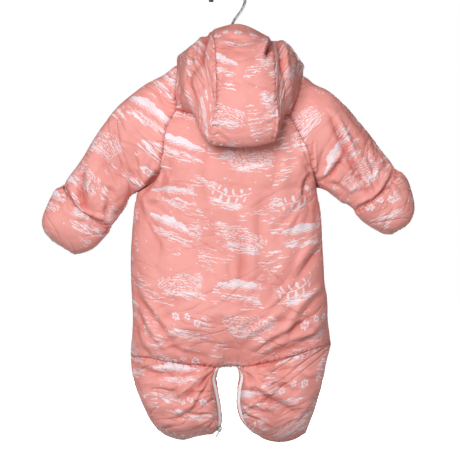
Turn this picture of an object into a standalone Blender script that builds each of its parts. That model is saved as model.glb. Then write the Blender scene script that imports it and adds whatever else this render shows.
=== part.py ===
"""A baby's padded snowsuit with a three-panel hood, hung on a child's clothes hanger by its hook.

The suit's back faces -Y and its zips face +Y. Tables are in millimetres, and +X is the wearer's right.
Each cloth piece is a grid of points between its seams, given a wall and parted from its neighbours.
The origin is the top of the hook's inside, where the rail bears.
"""

import math

import bmesh
import bpy
import numpy as np
from mathutils import Matrix, Vector

MM = 0.001
WALL = 2.5
SEAM_GAP = 0.3
SNUG = 0.8
# Points of two pieces this many decimals of a millimetre alike are one point of their seam.
SAME_POINT = 3

# Zips: a strip of tape and coil between two cloth edges.
ZIP_WIDTH = 6.0
ZIP_THICK = 1.8
ZIP_SUNK = 0.6

# Steps along each seam, shared by the pieces that meet there.
RAGLAN_STEPS = 8
SIDE_STEPS = 12
LEG_STEPS = 12
FRONT_COLUMNS = 9
LEG_COLUMNS = FRONT_COLUMNS
BACK_COLUMNS = 2 * LEG_COLUMNS + 2
SHOULDER_STEPS = 8
SLEEVE_ROWS = 13
MITTEN_ROWS = 7
HOOD_COLUMNS = 8
HOOD_ROWS = 13

# Seams as rows of (x, y, z), each listed from the neck downwards or from left to right.
RAGLAN_BACK = {
    "left": [(-73, -34, -182), (-87, -42, -206), (-92, -46, -241), (-98, -41, -268), (-110, -27, -285),
             (-128, 0, -297)],
    "right": [(86, -34, -189), (103, -42, -220), (113, -45, -242), (117, -38, -262), (121, -22, -277),
              (124, 0, -290)],
}
RAGLAN_FRONT = {
    "left": [(-72, 23, -141), (-78, 34, -168), (-86, 42, -204), (-96, 42, -241), (-110, 30, -274),
             (-128, 0, -297)],
    "right": [(95, 23, -152), (101, 34, -178), (106, 42, -208), (111, 42, -240), (118, 28, -270),
              (124, 0, -290)],
}
SHOULDER_NECK = {
    "left": [(-73, -34, -182), (-75, -25, -156), (-72, -12, -129), (-70, 3, -121), (-72, 23, -141)],
    "right": [(86, -34, -189), (97, -25, -162), (104, -12, -139), (105, 3, -133), (95, 23, -152)],
}
NECK_BACK = [(-73, -34, -182), (-40, -42, -190), (5, -45, -194), (50, -42, -193), (86, -34, -189)]
NECK_FRONT = {
    "left": [(-72, 23, -141), (-54, 38, -164), (-26, 46, -186), (-2.15, 48, -195)],
    "right": [(95, 23, -152), (73, 38, -171), (39, 46, -188), (4.15, 48, -195)],
}
SIDE_SEAM = {
    "left": [(-128, 0, -297), (-132, 0, -329), (-135.5, 0, -377), (-135.5, 0, -412), (-134, 0, -447),
             (-133, 0, -475), (-135.5, 0, -506), (-136, 0, -527)],
    "right": [(124, 0, -290), (130, 0, -335), (131.5, 0, -370), (133, 0, -394), (134.5, 0, -422),
              (138, 0, -444), (139, 0, -468), (141, 0, -490), (143, 0, -509)],
}
LEG_SIDE = {
    "left": [(-136, 0, -527), (-133.5, 1, -551), (-128, 2, -573), (-119, 3, -594), (-110, 4, -612),
             (-98, 5, -629)],
    "right": [(143, 0, -509), (135.5, 1, -539), (131, 2, -565), (125.5, 3, -584), (120.5, 4, -601),
              (108, 5, -633)],
}
# The zip round both legs: where it runs, and which way points across it, toward the front.
LEG_ZIP = [
    # x, y, z, across x, across y, across z
    (-21.0, 2, -634.5, 0.35, 0.90, 0.25), (-13.0, -5, -624, 0.75, 0.62, 0.20),
    (-11.5, -8, -610, 0.85, 0.52, 0.00), (-13.0, -12, -594, 0.86, 0.50, 0.00),
    (-16.5, -18, -575, 0.86, 0.50, 0.00), (-20.0, -24, -556, 0.75, 0.66, 0.00),
    (-14.0, -25, -542, 0.20, 0.98, 0.05), (-1.0, -22, -538, 0.00, 1.00, 0.05),
    (13.0, -25, -540, -0.20, 0.98, 0.05), (18.5, -24, -553, -0.75, 0.66, 0.00),
    (15.5, -19, -570, -0.86, 0.50, 0.00), (14.0, -13.5, -588, -0.86, 0.50, 0.00),
    (16.5, -8, -604, -0.85, 0.52, 0.05), (22.5, -4, -618, -0.70, 0.62, 0.25),
    (33.0, 2, -632, -0.35, 0.90, 0.25),
]
CROTCH_FROM, CROTCH_TO = 6, 8
COLLAR_ZIP = [(1, 47, -160), (1, 48, -178), (1, 48, -195)]
FRONT_ZIP = [(1, 48, -195), (1, 49, -225), (1, 47, -300), (1, 45, -400), (1, 45, -470), (0.5, 43, -505),
             (-0.5, 33, -532), (-1, 12, -541), (-1, -18.5, -538)]
SEAT_SEAM = {
    "left": [(-136, 0, -527), (-126, -18, -527), (-110, -29, -528), (-84, -33, -533), (-55, -32, -537),
             (-32, -30, -538)],
    "right": [(143, 0, -509), (133, -18, -512), (112, -29, -519), (82, -33, -528), (54, -32, -534),
              (32, -30, -538)],
}
FOOT_SEAM = {
    "left": [(-98, 5, -629), (-84, 6, -638), (-64, 6, -643), (-44, 5, -638)],
    "right": [(108, 5, -633), (93, 6, -642), (75, 6, -646), (54, 5, -643)],
}
# How far the cloth stands out at the middle of the back and of each front, by share of the way down.
BACK_DEPTH = [(0.0, -45), (0.12, -49), (0.35, -50), (0.6, -48), (0.8, -56), (0.93, -58), (1.0, -56)]
FRONT_BULGE = [(0.0, 0), (0.45, 0), (0.58, 6), (0.66, 32), (0.8, 34), (0.93, 26), (0.98, 14), (1.0, 0)]
BACK_LEG_BULGE = [(0.0, 0), (0.1, 16), (0.3, 30), (0.6, 32), (0.85, 26), (0.95, 16), (1.0, 0)]
# Below the crotch each front bulges past the leg zip, toward the other leg: how far, the height it is
# greatest at, how far it reaches up and down, and how far across the leg.
LIP, LIP_HEIGHT, LIP_REACH, LIP_SHARE = 6.5, -560.0, 14.0, 0.08
LIP_TOP, LIP_EASE = -541.0, 6.0
# Sections are squared ovals, fuller at the sides for a higher number. A seam's pull dies away by EASE.
ROUNDNESS = 2.5
EASE = 2.2

# Sleeve sections: the outline's top and underside, and half the section's depth.
SLEEVE = {
    "left": [
        # along, top x, top z, under x, under z, half depth
        (0.22, -110, -142, -135, -300, 38), (0.42, -150, -170, -140, -308, 37),
        (0.60, -180, -206, -146, -316, 34), (0.75, -203, -243, -153, -326, 31),
        (0.90, -221, -278, -161, -335, 27), (1.0, -235, -303, -177, -355, 24)],
    "right": [
        (0.22, 133, -152, 130, -292.5, 38), (0.42, 163, -174, 138, -297, 37),
        (0.60, 188, -203, 147, -302, 34), (0.75, 209, -230, 158, -309, 31),
        (0.90, 224, -257, 170, -308, 27), (1.0, 242, -283, 190, -331, 24)],
}
# Fold-over mitten: the same columns, from its gathered mouth to its closed end.
MITTEN = {
    "left": [
        (0.0, -231, -284, -163, -345, 31.5), (0.2, -243, -295, -167, -352, 33),
        (0.45, -255, -317, -176, -362, 31), (0.7, -261, -337, -189, -374, 27),
        (0.88, -257, -352, -204, -381, 19), (1.0, -247, -364, -216, -383, 6)],
    "right": [
        (0.0, 234, -263, 173, -317, 31.5), (0.2, 245, -271, 178, -326, 33),
        (0.45, 256, -290, 188, -338, 31), (0.7, 261, -318, 205, -349, 27),
        (0.88, 256, -337, 219, -356, 19), (1.0, 249, -346, 230, -357, 6)],
}
MITTEN_COLUMNS = 20
MOUTH_SCOOP = 11.0
MOUTH_ROWS = 3
MITTEN_SET_BACK = 2.4
# How square a sleeve's and a mitten's sections are, across and through.
OVAL_ACROSS, OVAL_THROUGH = 0.9, 0.85

# Hood: the seams either side of its middle panel, from the neck round the back to the face.
HOOD_SEAM = {
    "left": [(-31, -44, -191), (-29, -57, -192), (-26, -66, -206), (-23, -72, -221), (-21, -82, -230),
             (-20, -92, -224), (-18, -98, -202), (-17, -99, -178), (-17, -97, -150), (-18, -88, -118),
             (-20, -67, -90), (-22, -47, -77), (-23, -28, -71), (-24, -12, -72)],
    "right": [(44, -43, -193), (48, -56, -194), (55, -66, -207), (58, -72, -221), (60, -82, -229),
              (62, -91, -222), (65, -97, -202), (66, -98, -180), (67, -96, -154), (66, -86, -124),
              (65, -68, -102), (64, -48, -91), (61, -29, -85), (58, -14, -84)],
}
HOOD_CROWN = [(0.0, 0, 0, 0), (0.2, 0, -1, -3), (0.32, 0, -4, -7), (0.42, 0, -8, -3), (0.6, 0, -9, 0),
              (0.76, 0, -9, 8), (0.88, 0, -4, 14), (1.0, 0, 1, 15)]
HOOD_FACE = {
    "left": [(-24, -12, -72), (-48, 2, -89), (-66, 16, -103), (-68, 32, -116), (-52, 46, -136),
             (-25, 49, -154), (-2.15, 47, -160)],
    "right": [(58, -14, -84), (80, 0, -86), (94, 15, -104), (103, 32, -122), (80, 46, -144),
              (40, 49, -156), (4.15, 47, -160)],
}
# A side's shape follows the middle seam over this share of its width, easing off by these powers of x, y
# and z, and follows the collar's opening only close to the chin. Its face edge crowds toward the top.
SEAM_CARRY, SEAM_POWERS, COLLAR_POWER, FACE_CROWD = 0.52, (2.3, 1.9, 2.3), 8, 1.3
# How far each side of the hood stands off the patch between its edges, at a quarter, a half and three
# quarters of the way from the neck to the face (rows) and from the middle to the chin (columns).
HOOD_STAND = [
    [(0, -14, 2), (0, 0, 3), (3, 3, 3)],
    [(0, -34, 4), (2, 0, 3), (2, 4, 2)],
    [(4, -16, 10), (3, 0, 3), (0, 2, 0)],
]

# The largest folds of the back, as troughs: ends and middle (x, z), reach to each side, and depth.
BACK_FOLDS = [
    # x, z, x, z, x, z, reach, depth
    (134, -363, 108, -397, 89, -436, 16, 7), (14, -342, 20, -380, 14, -420, 18, 5),
    (136, -447, 86, -475, 50, -505, 14, 7), (-132, -433, -104, -465, -74, -507, 15, 7),
    (-131, -474, -90, -500, -62, -512, 12, 5), (-203, -269, -205, -290, -205, -318, 10, 6),
    (141, -187, 155, -215, 166, -240, 11, 7), (170, -240, 190, -268, 205, -297, 11, 5),
    (-32, -552, -48, -570, -68, -597, 12, 8), (33, -572, 52, -581, 104, -609, 12, 8),
]

# A fold shows on cloth that faces the back: its depth by how squarely the cloth faces it.
FOLD_GAIN, FOLD_FROM = 1.8, 0.5

# The hanger and its wire hook, whose shank runs up and out to one side as rows of (x, z).
BAR_RADIUS = 4.5
BAR_REACH = 137.0
BAR_MIDDLE = (4.0, -96.0)
BAR_INWARD = 4.0
WIRE_RADIUS = 2.0
HOOK_RADIUS = 24.0
HOOK_TURN = 182
HOOK_SHANK = [(4, -75), (4.5, -66), (7, -58), (14, -48), (20, -39.5), (23.2, -31)]
TIP_RADIUS = 3.2
TIP_LENGTH = 7.0
TIP_SOFT = 1.2

# The sliders and their pull tabs. A pull's bar swings in the window of its slider's bridge.
SLIDER_WIDTH, SLIDER_LENGTH, SLIDER_THICK = 5.8, 9.0, 2.2
SLIDER_CLEAR = 1.2
BRIDGE_WIDTH, BRIDGE_LENGTH, BRIDGE_RISE, BRIDGE_BAR = 1.6, 7.0, 3.4, 1.0
PULL_WIDTH, PULL_LENGTH, PULL_THICK, PULL_BAR = 4.8, 15.0, 1.2, 1.2
PULL_CORNER, SLOT_CORNER = 1.3, 0.3
SLOT_WIDTH, SLOT_LENGTH = 2.8, 4.2
SLIDER_SOFT, BRIDGE_SUNK = 0.7, 0.5
SLIDER_ROW = 1

COLOURS = {
    "cloth": ((0.80, 0.31, 0.26), 0.62, 0.0),
    "zip": ((0.86, 0.85, 0.87), 0.55, 0.0),
    "steel": ((0.62, 0.63, 0.65), 0.25, 1.0),
    "bar": ((0.85, 0.85, 0.84), 0.40, 0.0),
    "cap": ((0.03, 0.03, 0.03), 0.50, 0.0),
}


# ---- curves and grids -------------------------------------------------------------------------

def smooth_through(rows, steps, even=True, shares=None):
    """Points on a smooth curve through the rows: at shares of its length, or at even shares of the rows."""
    rows = np.array(rows, float)
    ends = np.vstack([2 * rows[0] - rows[1], rows, 2 * rows[-1] - rows[-2]])
    share = np.linspace(0, 1, 20, endpoint=False)[:, None]
    dense = [
        b + share / 2 * (c - a + (2 * a - 5 * b + 4 * c - d) * share + (3 * b - a - 3 * c + d) * share**2)
        for a, b, c, d in zip(ends, ends[1:], ends[2:], ends[3:])
    ]
    dense = np.vstack(dense + [rows[-1:]])
    reach = np.linalg.norm(np.diff(dense[:, :3], axis=0), axis=1) if even else np.ones(len(dense) - 1)
    along = np.concatenate([[0], np.cumsum(reach)])
    wanted = along[-1] * (np.linspace(0, 1, steps + 1) if shares is None else shares)
    return np.stack([np.interp(wanted, along, column) for column in dense.T], axis=1)


def level(table, share):
    """A table of (share, value...) read at each share."""
    table = np.array(table, float)
    return np.stack([np.interp(share, table[:, 0], column) for column in table[:, 1:].T], axis=-1)


def arch(across):
    return (1 - np.abs(2 * across - 1) ** ROUNDNESS) ** (1 / ROUNDNESS)


def spread(columns, both_ends=True):
    """Shares across a piece, closer together where the cloth turns."""
    even = np.linspace(0, 1, columns + 1)
    turned = (1 - np.cos(np.pi * even)) / 2 if both_ends else 1 - np.cos(np.pi / 2 * even)
    return (even + turned) / 2


def unit(vectors):
    return vectors / np.maximum(np.linalg.norm(vectors, axis=-1, keepdims=True), 1e-9)


# ---- the seams --------------------------------------------------------------------------------

# The leg zip's middle line, in three runs: left leg from the crotch down, the crotch, and right leg.
LEG_ROWS = {
    "left": smooth_through(LEG_ZIP[:CROTCH_FROM + 1][::-1], LEG_STEPS),
    "right": smooth_through(LEG_ZIP[CROTCH_TO:], LEG_STEPS),
}


def zip_edge(side, toward_front):
    """One side's edge of the leg zip, from the crotch to the foot, and the crotch's middle point."""
    half = (ZIP_WIDTH / 2 + SEAM_GAP / 2) * (1 if toward_front else -1)
    middle = np.array(LEG_ZIP[(CROTCH_FROM + CROTCH_TO) // 2], float)
    edges = [line[..., :3] + half * unit(line[..., 3:]) for line in (middle, LEG_ROWS[side])]
    return edges[0], edges[1]


raglan_back = {side: smooth_through(rows, RAGLAN_STEPS) for side, rows in RAGLAN_BACK.items()}
raglan_front = {side: smooth_through(rows, RAGLAN_STEPS) for side, rows in RAGLAN_FRONT.items()}
shoulder_neck = {side: smooth_through(rows, SHOULDER_STEPS) for side, rows in SHOULDER_NECK.items()}
side_seam = {side: smooth_through(rows, SIDE_STEPS) for side, rows in SIDE_SEAM.items()}
leg_side = {side: smooth_through(rows, LEG_STEPS) for side, rows in LEG_SIDE.items()}
neck_back = smooth_through(NECK_BACK, BACK_COLUMNS)


def seat_seam(side):
    """From the side seam to the leg zip."""
    inner = zip_edge(side, False)[1][0]
    return smooth_through(SEAT_SEAM[side] + [tuple(inner)], LEG_COLUMNS, shares=spread(LEG_COLUMNS))


def body_edge(raglan, side, stop_at_leg):
    """A panel's outer edge: its raglan seam, its side seam and, on a front, the outside of the leg."""
    parts = [raglan[side], side_seam[side][1:]]
    return np.vstack(parts if stop_at_leg else parts + [leg_side[side][1:]])


# ---- the pieces -------------------------------------------------------------------------------

def back_grid():
    left = body_edge(raglan_back, "left", True)
    right = body_edge(raglan_back, "right", True)
    down = np.linspace(0, 1, len(left))
    even = np.linspace(0, 1, BACK_COLUMNS + 1)
    # Columns crowd toward the sides, where the cloth turns, but spread evenly at the neck.
    turn = np.clip((down - 0.25) / 0.2, 0, 1)[:, None]
    across = even * (1 - turn) + spread(BACK_COLUMNS) * turn
    grid = left[:, None] * (1 - across[..., None]) + right[:, None] * across[..., None]
    depth = level(BACK_DEPTH, down)[:, 0]
    grid[..., 1] += (depth - (left[:, 1] + right[:, 1]) / 2)[:, None] * arch(across)
    seat = np.vstack([seat_seam("left"), zip_edge("left", False)[0], seat_seam("right")[::-1]])
    ease_to(grid, neck_back, 0, 4)
    ease_to(grid, seat, -1, 3)
    return grid


def ease_to(grid, edge, row, reach):
    """Carry a row of the grid onto an edge, and its neighbours part of the way."""
    move = edge - grid[row]
    for step in range(reach):
        grid[row - step if row < 0 else row + step] += move * (1 - step / reach) ** EASE


def front_opening(side):
    """One side of the front zip, from the neck to the crotch."""
    sign = -1 if side == "left" else 1
    line = smooth_through(FRONT_ZIP, RAGLAN_STEPS + SIDE_STEPS - 1)
    return line + np.array([sign * (ZIP_WIDTH + SEAM_GAP) / 2, 0, 0])


def collar_edge(side):
    """One side of the front zip above the neck seam, from the chin down."""
    sign = -1 if side == "left" else 1
    return smooth_through(COLLAR_ZIP, HOOD_ROWS) + np.array([sign * (ZIP_WIDTH + SEAM_GAP) / 2, 0, 0])


def front_zip_grid():
    return np.stack([
        np.vstack([collar_edge(side)[:-1], front_opening(side)]) for side in ("left", "right")
    ], axis=1)


def leg_zip_grid():
    """From the left foot, through the crotch, to the right foot: its back edge, then its front edge."""
    edges = []
    for toward_front in (False, True):
        middle, left = zip_edge("left", toward_front)
        edges.append(np.vstack([left[::-1], middle, zip_edge("right", toward_front)[1]]))
    return np.stack(edges, axis=1)


def front_grid(side):
    outer = body_edge(raglan_front, side, False)
    inner = np.vstack([front_opening(side), zip_edge(side, True)[1]])
    down = np.linspace(0, 1, len(outer))
    legs = np.clip((down - 0.5) / 0.14, 0, 1)[:, None]
    across = spread(FRONT_COLUMNS, False) * (1 - legs) + spread(FRONT_COLUMNS) * legs
    grid = outer[:, None] * (1 - across[..., None]) + inner[:, None] * across[..., None]
    # Above the crotch the cloth turns once, at the side. A leg turns on both sides.
    once = (1 - (1 - across) ** ROUNDNESS) ** (1 / ROUNDNESS)
    rise = (inner[:, 1] - outer[:, 1])[:, None]
    grid[..., 1] = outer[:, 1][:, None] + rise * (once * (1 - legs) + across * legs)
    grid[..., 1] += level(FRONT_BULGE, down)[:, 0][:, None] * arch(across) * (0.3 + 0.7 * legs)
    from_zip = (1 - across) / LIP_SHARE
    lip = np.exp(-((grid[..., 2] - LIP_HEIGHT) / LIP_REACH) ** 2)
    lip *= np.clip((LIP_TOP - grid[..., 2]) / LIP_EASE, 0, 1) * (across > 0)
    grid[..., 0] += (1 if side == "left" else -1) * LIP * lip * from_zip * np.exp(1 - from_zip)
    neck = smooth_through(NECK_FRONT[side], FRONT_COLUMNS)
    ease_to(grid, neck, 0, 5)
    ease_to(grid, foot_seam(side, True), -1, 3)
    return grid


def foot_seam(side, toward_front):
    """The closed foot's seam, from the outside of the leg to one edge of the leg zip."""
    ends = [zip_edge(side, front)[1][-1] for front in (False, True)]
    seam = smooth_through(FOOT_SEAM[side] + [tuple(sum(ends) / 2)], LEG_COLUMNS, shares=spread(LEG_COLUMNS))
    seam[-1] = ends[toward_front]
    return seam


def back_leg_grid(side):
    outer = leg_side[side]
    inner = zip_edge(side, False)[1]
    down = np.linspace(0, 1, LEG_STEPS + 1)
    across = spread(LEG_COLUMNS)
    grid = outer[:, None] * (1 - across[:, None]) + inner[:, None] * across[:, None]
    grid[..., 1] -= level(BACK_LEG_BULGE, down)[:, 0][:, None] * arch(across)
    ease_to(grid, seat_seam(side), 0, 3)
    ease_to(grid, foot_seam(side, False), -1, 3)
    return grid


def oval(row, count):
    """A ring from the underside round the back, over the top and down the front."""
    top, under, depth = np.array([row[1], 0, row[2]]), np.array([row[3], 0, row[4]]), row[5]
    turn = np.linspace(0, 2 * np.pi, count + 1)[:, None]
    upward, backward = np.cos(turn), np.sin(turn)
    flat = (top + under) / 2 - (top - under) / 2 * np.sign(upward) * np.abs(upward) ** OVAL_ACROSS
    return flat - np.array([0, depth, 0]) * np.sign(backward) * np.abs(backward) ** OVAL_THROUGH


def through_rings(shares, rings, rows):
    """A tube through rings at the given shares of its length."""
    wanted = np.linspace(0, 1, rows + 1)
    strings = [smooth_through(line, 60, even=False) for line in np.stack(rings, axis=1)]
    spaced = np.interp(wanted, shares, np.linspace(0, 1, len(shares)))
    known = np.linspace(0, 1, 61)
    return np.stack([
        np.stack([np.interp(spaced, known, column) for column in string.T], axis=1) for string in strings
    ], axis=1)


def sleeve_grid(side):
    loop = np.vstack([raglan_back[side][::-1], shoulder_neck[side][1:], raglan_front[side][1:]])
    rings = [loop] + [oval(row, len(loop) - 1) for row in SLEEVE[side]]
    return through_rings([0.0] + [row[0] for row in SLEEVE[side]], rings, SLEEVE_ROWS)


def mitten_grid(side):
    rings = [oval(row, MITTEN_COLUMNS) for row in MITTEN[side]]
    grid = through_rings([row[0] for row in MITTEN[side]], rings, MITTEN_ROWS)
    # The gathered edge scoops toward the hand on the back, and on the front it covers the cuff's seam.
    scoop = np.clip(np.sin(np.linspace(0, 2 * np.pi, MITTEN_COLUMNS + 1)), 0, 1) * MOUTH_SCOOP
    toward_end = bag_axis(grid)
    for row in range(MOUTH_ROWS):
        grid[row] += np.outer(scoop * (1 - row / MOUTH_ROWS), toward_end)
    # Its front lies on the sleeve's, where it is sewn on, and its back stands open.
    return grid - np.array([0, MITTEN_SET_BACK, 0])


def bag_axis(grid):
    return unit(grid[-1, :-1].mean(axis=0) - grid[0, :-1].mean(axis=0))


def hood_middle_grid():
    left, right = (smooth_through(HOOD_SEAM[side], HOOD_ROWS, even=False) for side in ("left", "right"))
    start = (BACK_COLUMNS - HOOD_COLUMNS) // 2
    neck = neck_back[start:start + HOOD_COLUMNS + 1]
    left[0], right[0] = neck[0], neck[-1]
    across = np.linspace(0, 1, HOOD_COLUMNS + 1)
    grid = left[:, None] * (1 - across[:, None]) + right[:, None] * across[:, None]
    crown = level(HOOD_CROWN, np.linspace(0, 1, HOOD_ROWS + 1))
    grid += crown[:, None] * np.sin(np.pi * across)[None, :, None]
    ease_to(grid, neck, 0, 3)
    return grid


def hood_side_grid(side):
    start = (BACK_COLUMNS - HOOD_COLUMNS) // 2
    from_middle = neck_back[start::-1] if side == "left" else neck_back[start + HOOD_COLUMNS:]
    neck_front = smooth_through(NECK_FRONT[side], FRONT_COLUMNS)
    neck = np.vstack([from_middle, shoulder_neck[side][1:], neck_front[1:]])
    columns = len(neck) - 1
    around = np.linspace(0, 1, columns + 1)
    face = smooth_through(HOOD_FACE[side], columns, shares=around ** FACE_CROWD)
    seam = smooth_through(HOOD_SEAM[side], HOOD_ROWS, even=False)
    seam[0] = neck[0]
    collar = collar_edge(side)[::-1]
    up = np.linspace(0, 1, HOOD_ROWS + 1)[:, None]
    grid = neck[None] * (1 - up[..., None]) + face[None] * up[..., None]
    # The middle seam's curve fades round the neck, and the collar's takes its place at the chin.
    seam_curve = seam - (seam[0] * (1 - up) + seam[-1] * up)
    collar_curve = collar - (collar[0] * (1 - up) + collar[-1] * up)
    carried = np.clip(1 - around / SEAM_CARRY, 0, 1)[:, None] ** np.array(SEAM_POWERS)
    grid += seam_curve[:, None] * carried[None]
    grid += collar_curve[:, None] * (around**COLLAR_POWER)[None, :, None]
    stand = np.zeros((5, 5, 3))
    stand[1:4, 1:4] = np.array(HOOD_STAND) * [-1 if side == "left" else 1, 1, 1]
    stand = np.stack([smooth_through(row, columns, even=False) for row in stand])
    stand = np.stack([smooth_through(line, HOOD_ROWS, even=False) for line in stand.swapaxes(0, 1)], axis=1)
    return grid + stand


# ---- walls ------------------------------------------------------------------------------------

def face_normals(grid):
    """A normal at each point, from the faces round it, summed over every grid that shares the point."""
    total = np.zeros_like(grid)
    corner = np.cross(grid[1:, 1:] - grid[:-1, :-1], grid[1:, :-1] - grid[:-1, 1:])
    for rows in (slice(None, -1), slice(1, None)):
        for columns in (slice(None, -1), slice(1, None)):
            total[rows, columns] += corner
    return total


def shared_normals(grids):
    sums = {}
    for grid, turned in grids.values():
        for point, normal in zip(grid.reshape(-1, 3), unit(face_normals(grid)).reshape(-1, 3)):
            key = tuple(np.round(point, SAME_POINT) + 0.0)
            sums[key] = sums.get(key, np.zeros(3)) + (-normal if turned else normal)
    normals = {}
    for name, (grid, _) in grids.items():
        found = np.array([sums[tuple(np.round(point, SAME_POINT) + 0.0)] for point in grid.reshape(-1, 3)])
        found /= np.linalg.norm(found, axis=1)[:, None]
        normals[name] = found.reshape(grid.shape)
    return normals


def press_folds(grid, normals):
    """Press each fold into the points that face the back."""
    for *ends, reach, depth in BACK_FOLDS:
        line = smooth_through([(x, 0, z) for x, z in zip(ends[::2], ends[1::2])], 16)[:, [0, 2]]
        away = np.linalg.norm(grid[..., None, [0, 2]] - line, axis=-1).min(axis=-1)
        facing = np.clip(-normals[..., 1] * FOLD_GAIN - FOLD_FROM, 0, 1)
        grid = grid - normals * (depth * np.exp(-(away / reach) ** 2) * facing)[..., None]
    return grid


def parted(grid, normals, turned, tube):
    """Draw a grid's borders in by half of the seam gap, square to the seam and along the cloth."""
    moved = grid.copy()
    for border, from_start in ((0, 1), (-1, -1)):
        for axis in (0,) if tube else (0, 1):
            line = np.take(grid, border, axis)
            inward = unit(np.cross(np.gradient(line, axis=0), np.take(normals, border, axis)))
            inward *= from_start * (1 if axis == 1 else -1) * (-1 if turned else 1)
            target = moved[border] if axis == 0 else moved[:, border]
            target += inward * SEAM_GAP / 2
    if tube:
        moved[:, -1] = moved[:, 0]
    return moved


def collect(name, mesh_points, faces, colour):
    mesh = bpy.data.meshes.new(name)
    mesh.from_pydata([tuple(point * MM) for point in mesh_points], [], faces)
    built = bmesh.new()
    built.from_mesh(mesh)
    bmesh.ops.remove_doubles(built, verts=built.verts, dist=1e-7)
    bmesh.ops.triangulate(built, faces=built.faces)
    built.to_mesh(mesh)
    built.free()
    mesh.shade_smooth()
    thing = bpy.data.objects.new(name, mesh)
    finish(thing, colour)
    return thing


def finish(thing, colour):
    rgb, roughness, metallic = COLOURS[colour]
    material = bpy.data.materials.new(thing.name)
    material.use_nodes = True
    shader = material.node_tree.nodes["Principled BSDF"]
    shader.inputs["Base Color"].default_value = (*rgb, 1.0)
    shader.inputs["Roughness"].default_value = roughness
    shader.inputs["Metallic"].default_value = metallic
    thing.data.materials.append(material)
    if thing.name not in suit.objects:
        suit.objects.link(thing)


def wall(name, outer, inner, turned, colour, closed_round=False, bag=False):
    """A closed body between two grids. A tube's last column is its first, and a bag's far end is shut."""
    rows, columns = outer.shape[:2]
    if closed_round:
        outer, inner = outer[:, :-1], inner[:, :-1]
        columns -= 1
    points = np.vstack([outer.reshape(-1, 3), inner.reshape(-1, 3)])
    side = rows * columns
    faces = []
    last = columns if closed_round else columns - 1
    for row in range(rows - 1):
        for column in range(last):
            beside = (column + 1) % columns
            a, b = row * columns + column, row * columns + beside
            c, d = b + columns, a + columns
            faces += [(a, b, c, d), (side + d, side + c, side + b, side + a)]
    if bag:
        start, half = (rows - 1) * columns, columns // 2
        for column in range(half):
            pair = [column, column + 1, columns - column - 1, (columns - column) % columns]
            ring = list(dict.fromkeys(pair))
            faces += [[start + step for step in ring], [side + start + step for step in ring[::-1]]]
    for row, flip in ((0, True),) if bag else ((0, True), (rows - 1, False)):
        for column in range(last):
            a, b = row * columns + column, row * columns + (column + 1) % columns
            faces.append((side + a, side + b, b, a) if flip else (a, b, side + b, side + a))
    if not closed_round:
        for column, flip in ((0, False), (columns - 1, True)):
            for row in range(rows - 1):
                a, b = row * columns + column, (row + 1) * columns + column
                faces.append((side + a, side + b, b, a) if flip else (a, b, side + b, side + a))
    if turned:
        faces = [face[::-1] for face in faces]
    return collect(name, points, faces, colour)


# ---- the hanger and the zips' sliders -----------------------------------------------------------

def tube(name, path, radius, colour):
    """A round bar or wire along a path, with its ends filled."""
    curve = bpy.data.curves.new(name, "CURVE")
    curve.dimensions = "3D"
    line = curve.splines.new("POLY")
    line.points.add(len(path) - 1)
    for point, place in zip(line.points, path):
        point.co = (*(np.array(place) * MM), 1.0)
    curve.bevel_depth = radius * MM
    curve.bevel_resolution = 2
    curve.use_fill_caps = True
    finish(bpy.data.objects.new(name, curve), colour)


def inside_top(side):
    """Where the inside of a sleeve's top crosses the hanger's plane, ring by ring."""
    crossings = []
    for ring in grids["sleeve_" + side][0] - normals["sleeve_" + side] * WALL:
        for here, there in zip(ring[len(ring) // 4:], ring[len(ring) // 4 + 1:3 * len(ring) // 4]):
            if here[1] < 0 <= there[1]:
                share = here[1] / (here[1] - there[1])
                tilt = (there[2] - here[2]) / (there[1] - here[1])
                crossings.append([*(here + (there - here) * share), tilt])
    return np.array(crossings)


def hanger_bar():
    """The arms lie under the sleeves' tops, a snug gap below the cloth's inside."""
    arms = {}
    for side, sign in (("left", -1), ("right", 1)):
        top = inside_top(side)
        reach = (top[:, 0] - BAR_MIDDLE[0]) * sign
        dense = np.linspace(reach[0], reach[-1], 200)
        height = np.interp(dense, reach, top[:, 2])
        radius = (BAR_RADIUS + SNUG) * np.sqrt(1 + np.interp(dense, reach, top[:, 3]) ** 2)
        arms[side] = []
        for far in np.linspace(reach[0] - BAR_INWARD, BAR_REACH, 5):
            room = height - np.sqrt(np.maximum(radius**2 - (dense - far) ** 2, 0))
            near = np.abs(dense - far) < radius + BAR_INWARD
            arms[side].append((BAR_MIDDLE[0] + sign * far, 0, room[near].min()))
    knots = arms["left"][::-1] + [(BAR_MIDDLE[0], 0, BAR_MIDDLE[1])] + arms["right"]
    tube("hanger_bar", smooth_through(knots, 24), BAR_RADIUS, "bar")


def hanger_hook():
    """A shank, a slope out to one side, and a half turn over the rail."""
    foot = BAR_MIDDLE[1] + BAR_RADIUS + SNUG
    centre = WIRE_RADIUS - HOOK_RADIUS
    shank = [(BAR_MIDDLE[0], 0, foot)] + [(x, 0, z) for x, z in HOOK_SHANK]
    turns = np.radians(np.linspace(0, HOOK_TURN, 19))
    arc = [(HOOK_RADIUS * math.cos(turn), 0, centre + HOOK_RADIUS * math.sin(turn)) for turn in turns]
    tube("hanger_hook", np.vstack([smooth_through(shank, 12), arc]), WIRE_RADIUS, "steel")
    end = np.array(arc[-1])
    bpy.ops.mesh.primitive_cylinder_add(
        vertices=16, radius=TIP_RADIUS * MM, depth=TIP_LENGTH * MM,
        location=Vector(end + [0, 0, -SEAM_GAP - TIP_LENGTH / 2]) * MM)
    cap = bpy.context.object
    cap.name = "hook_tip"
    soften(cap, TIP_SOFT, 2)
    move_to_suit(cap)
    finish(cap, "cap")


def soften(thing, width, segments):
    bevel = thing.modifiers.new("soft_edges", "BEVEL")
    bevel.width = width * MM
    bevel.segments = segments


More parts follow.
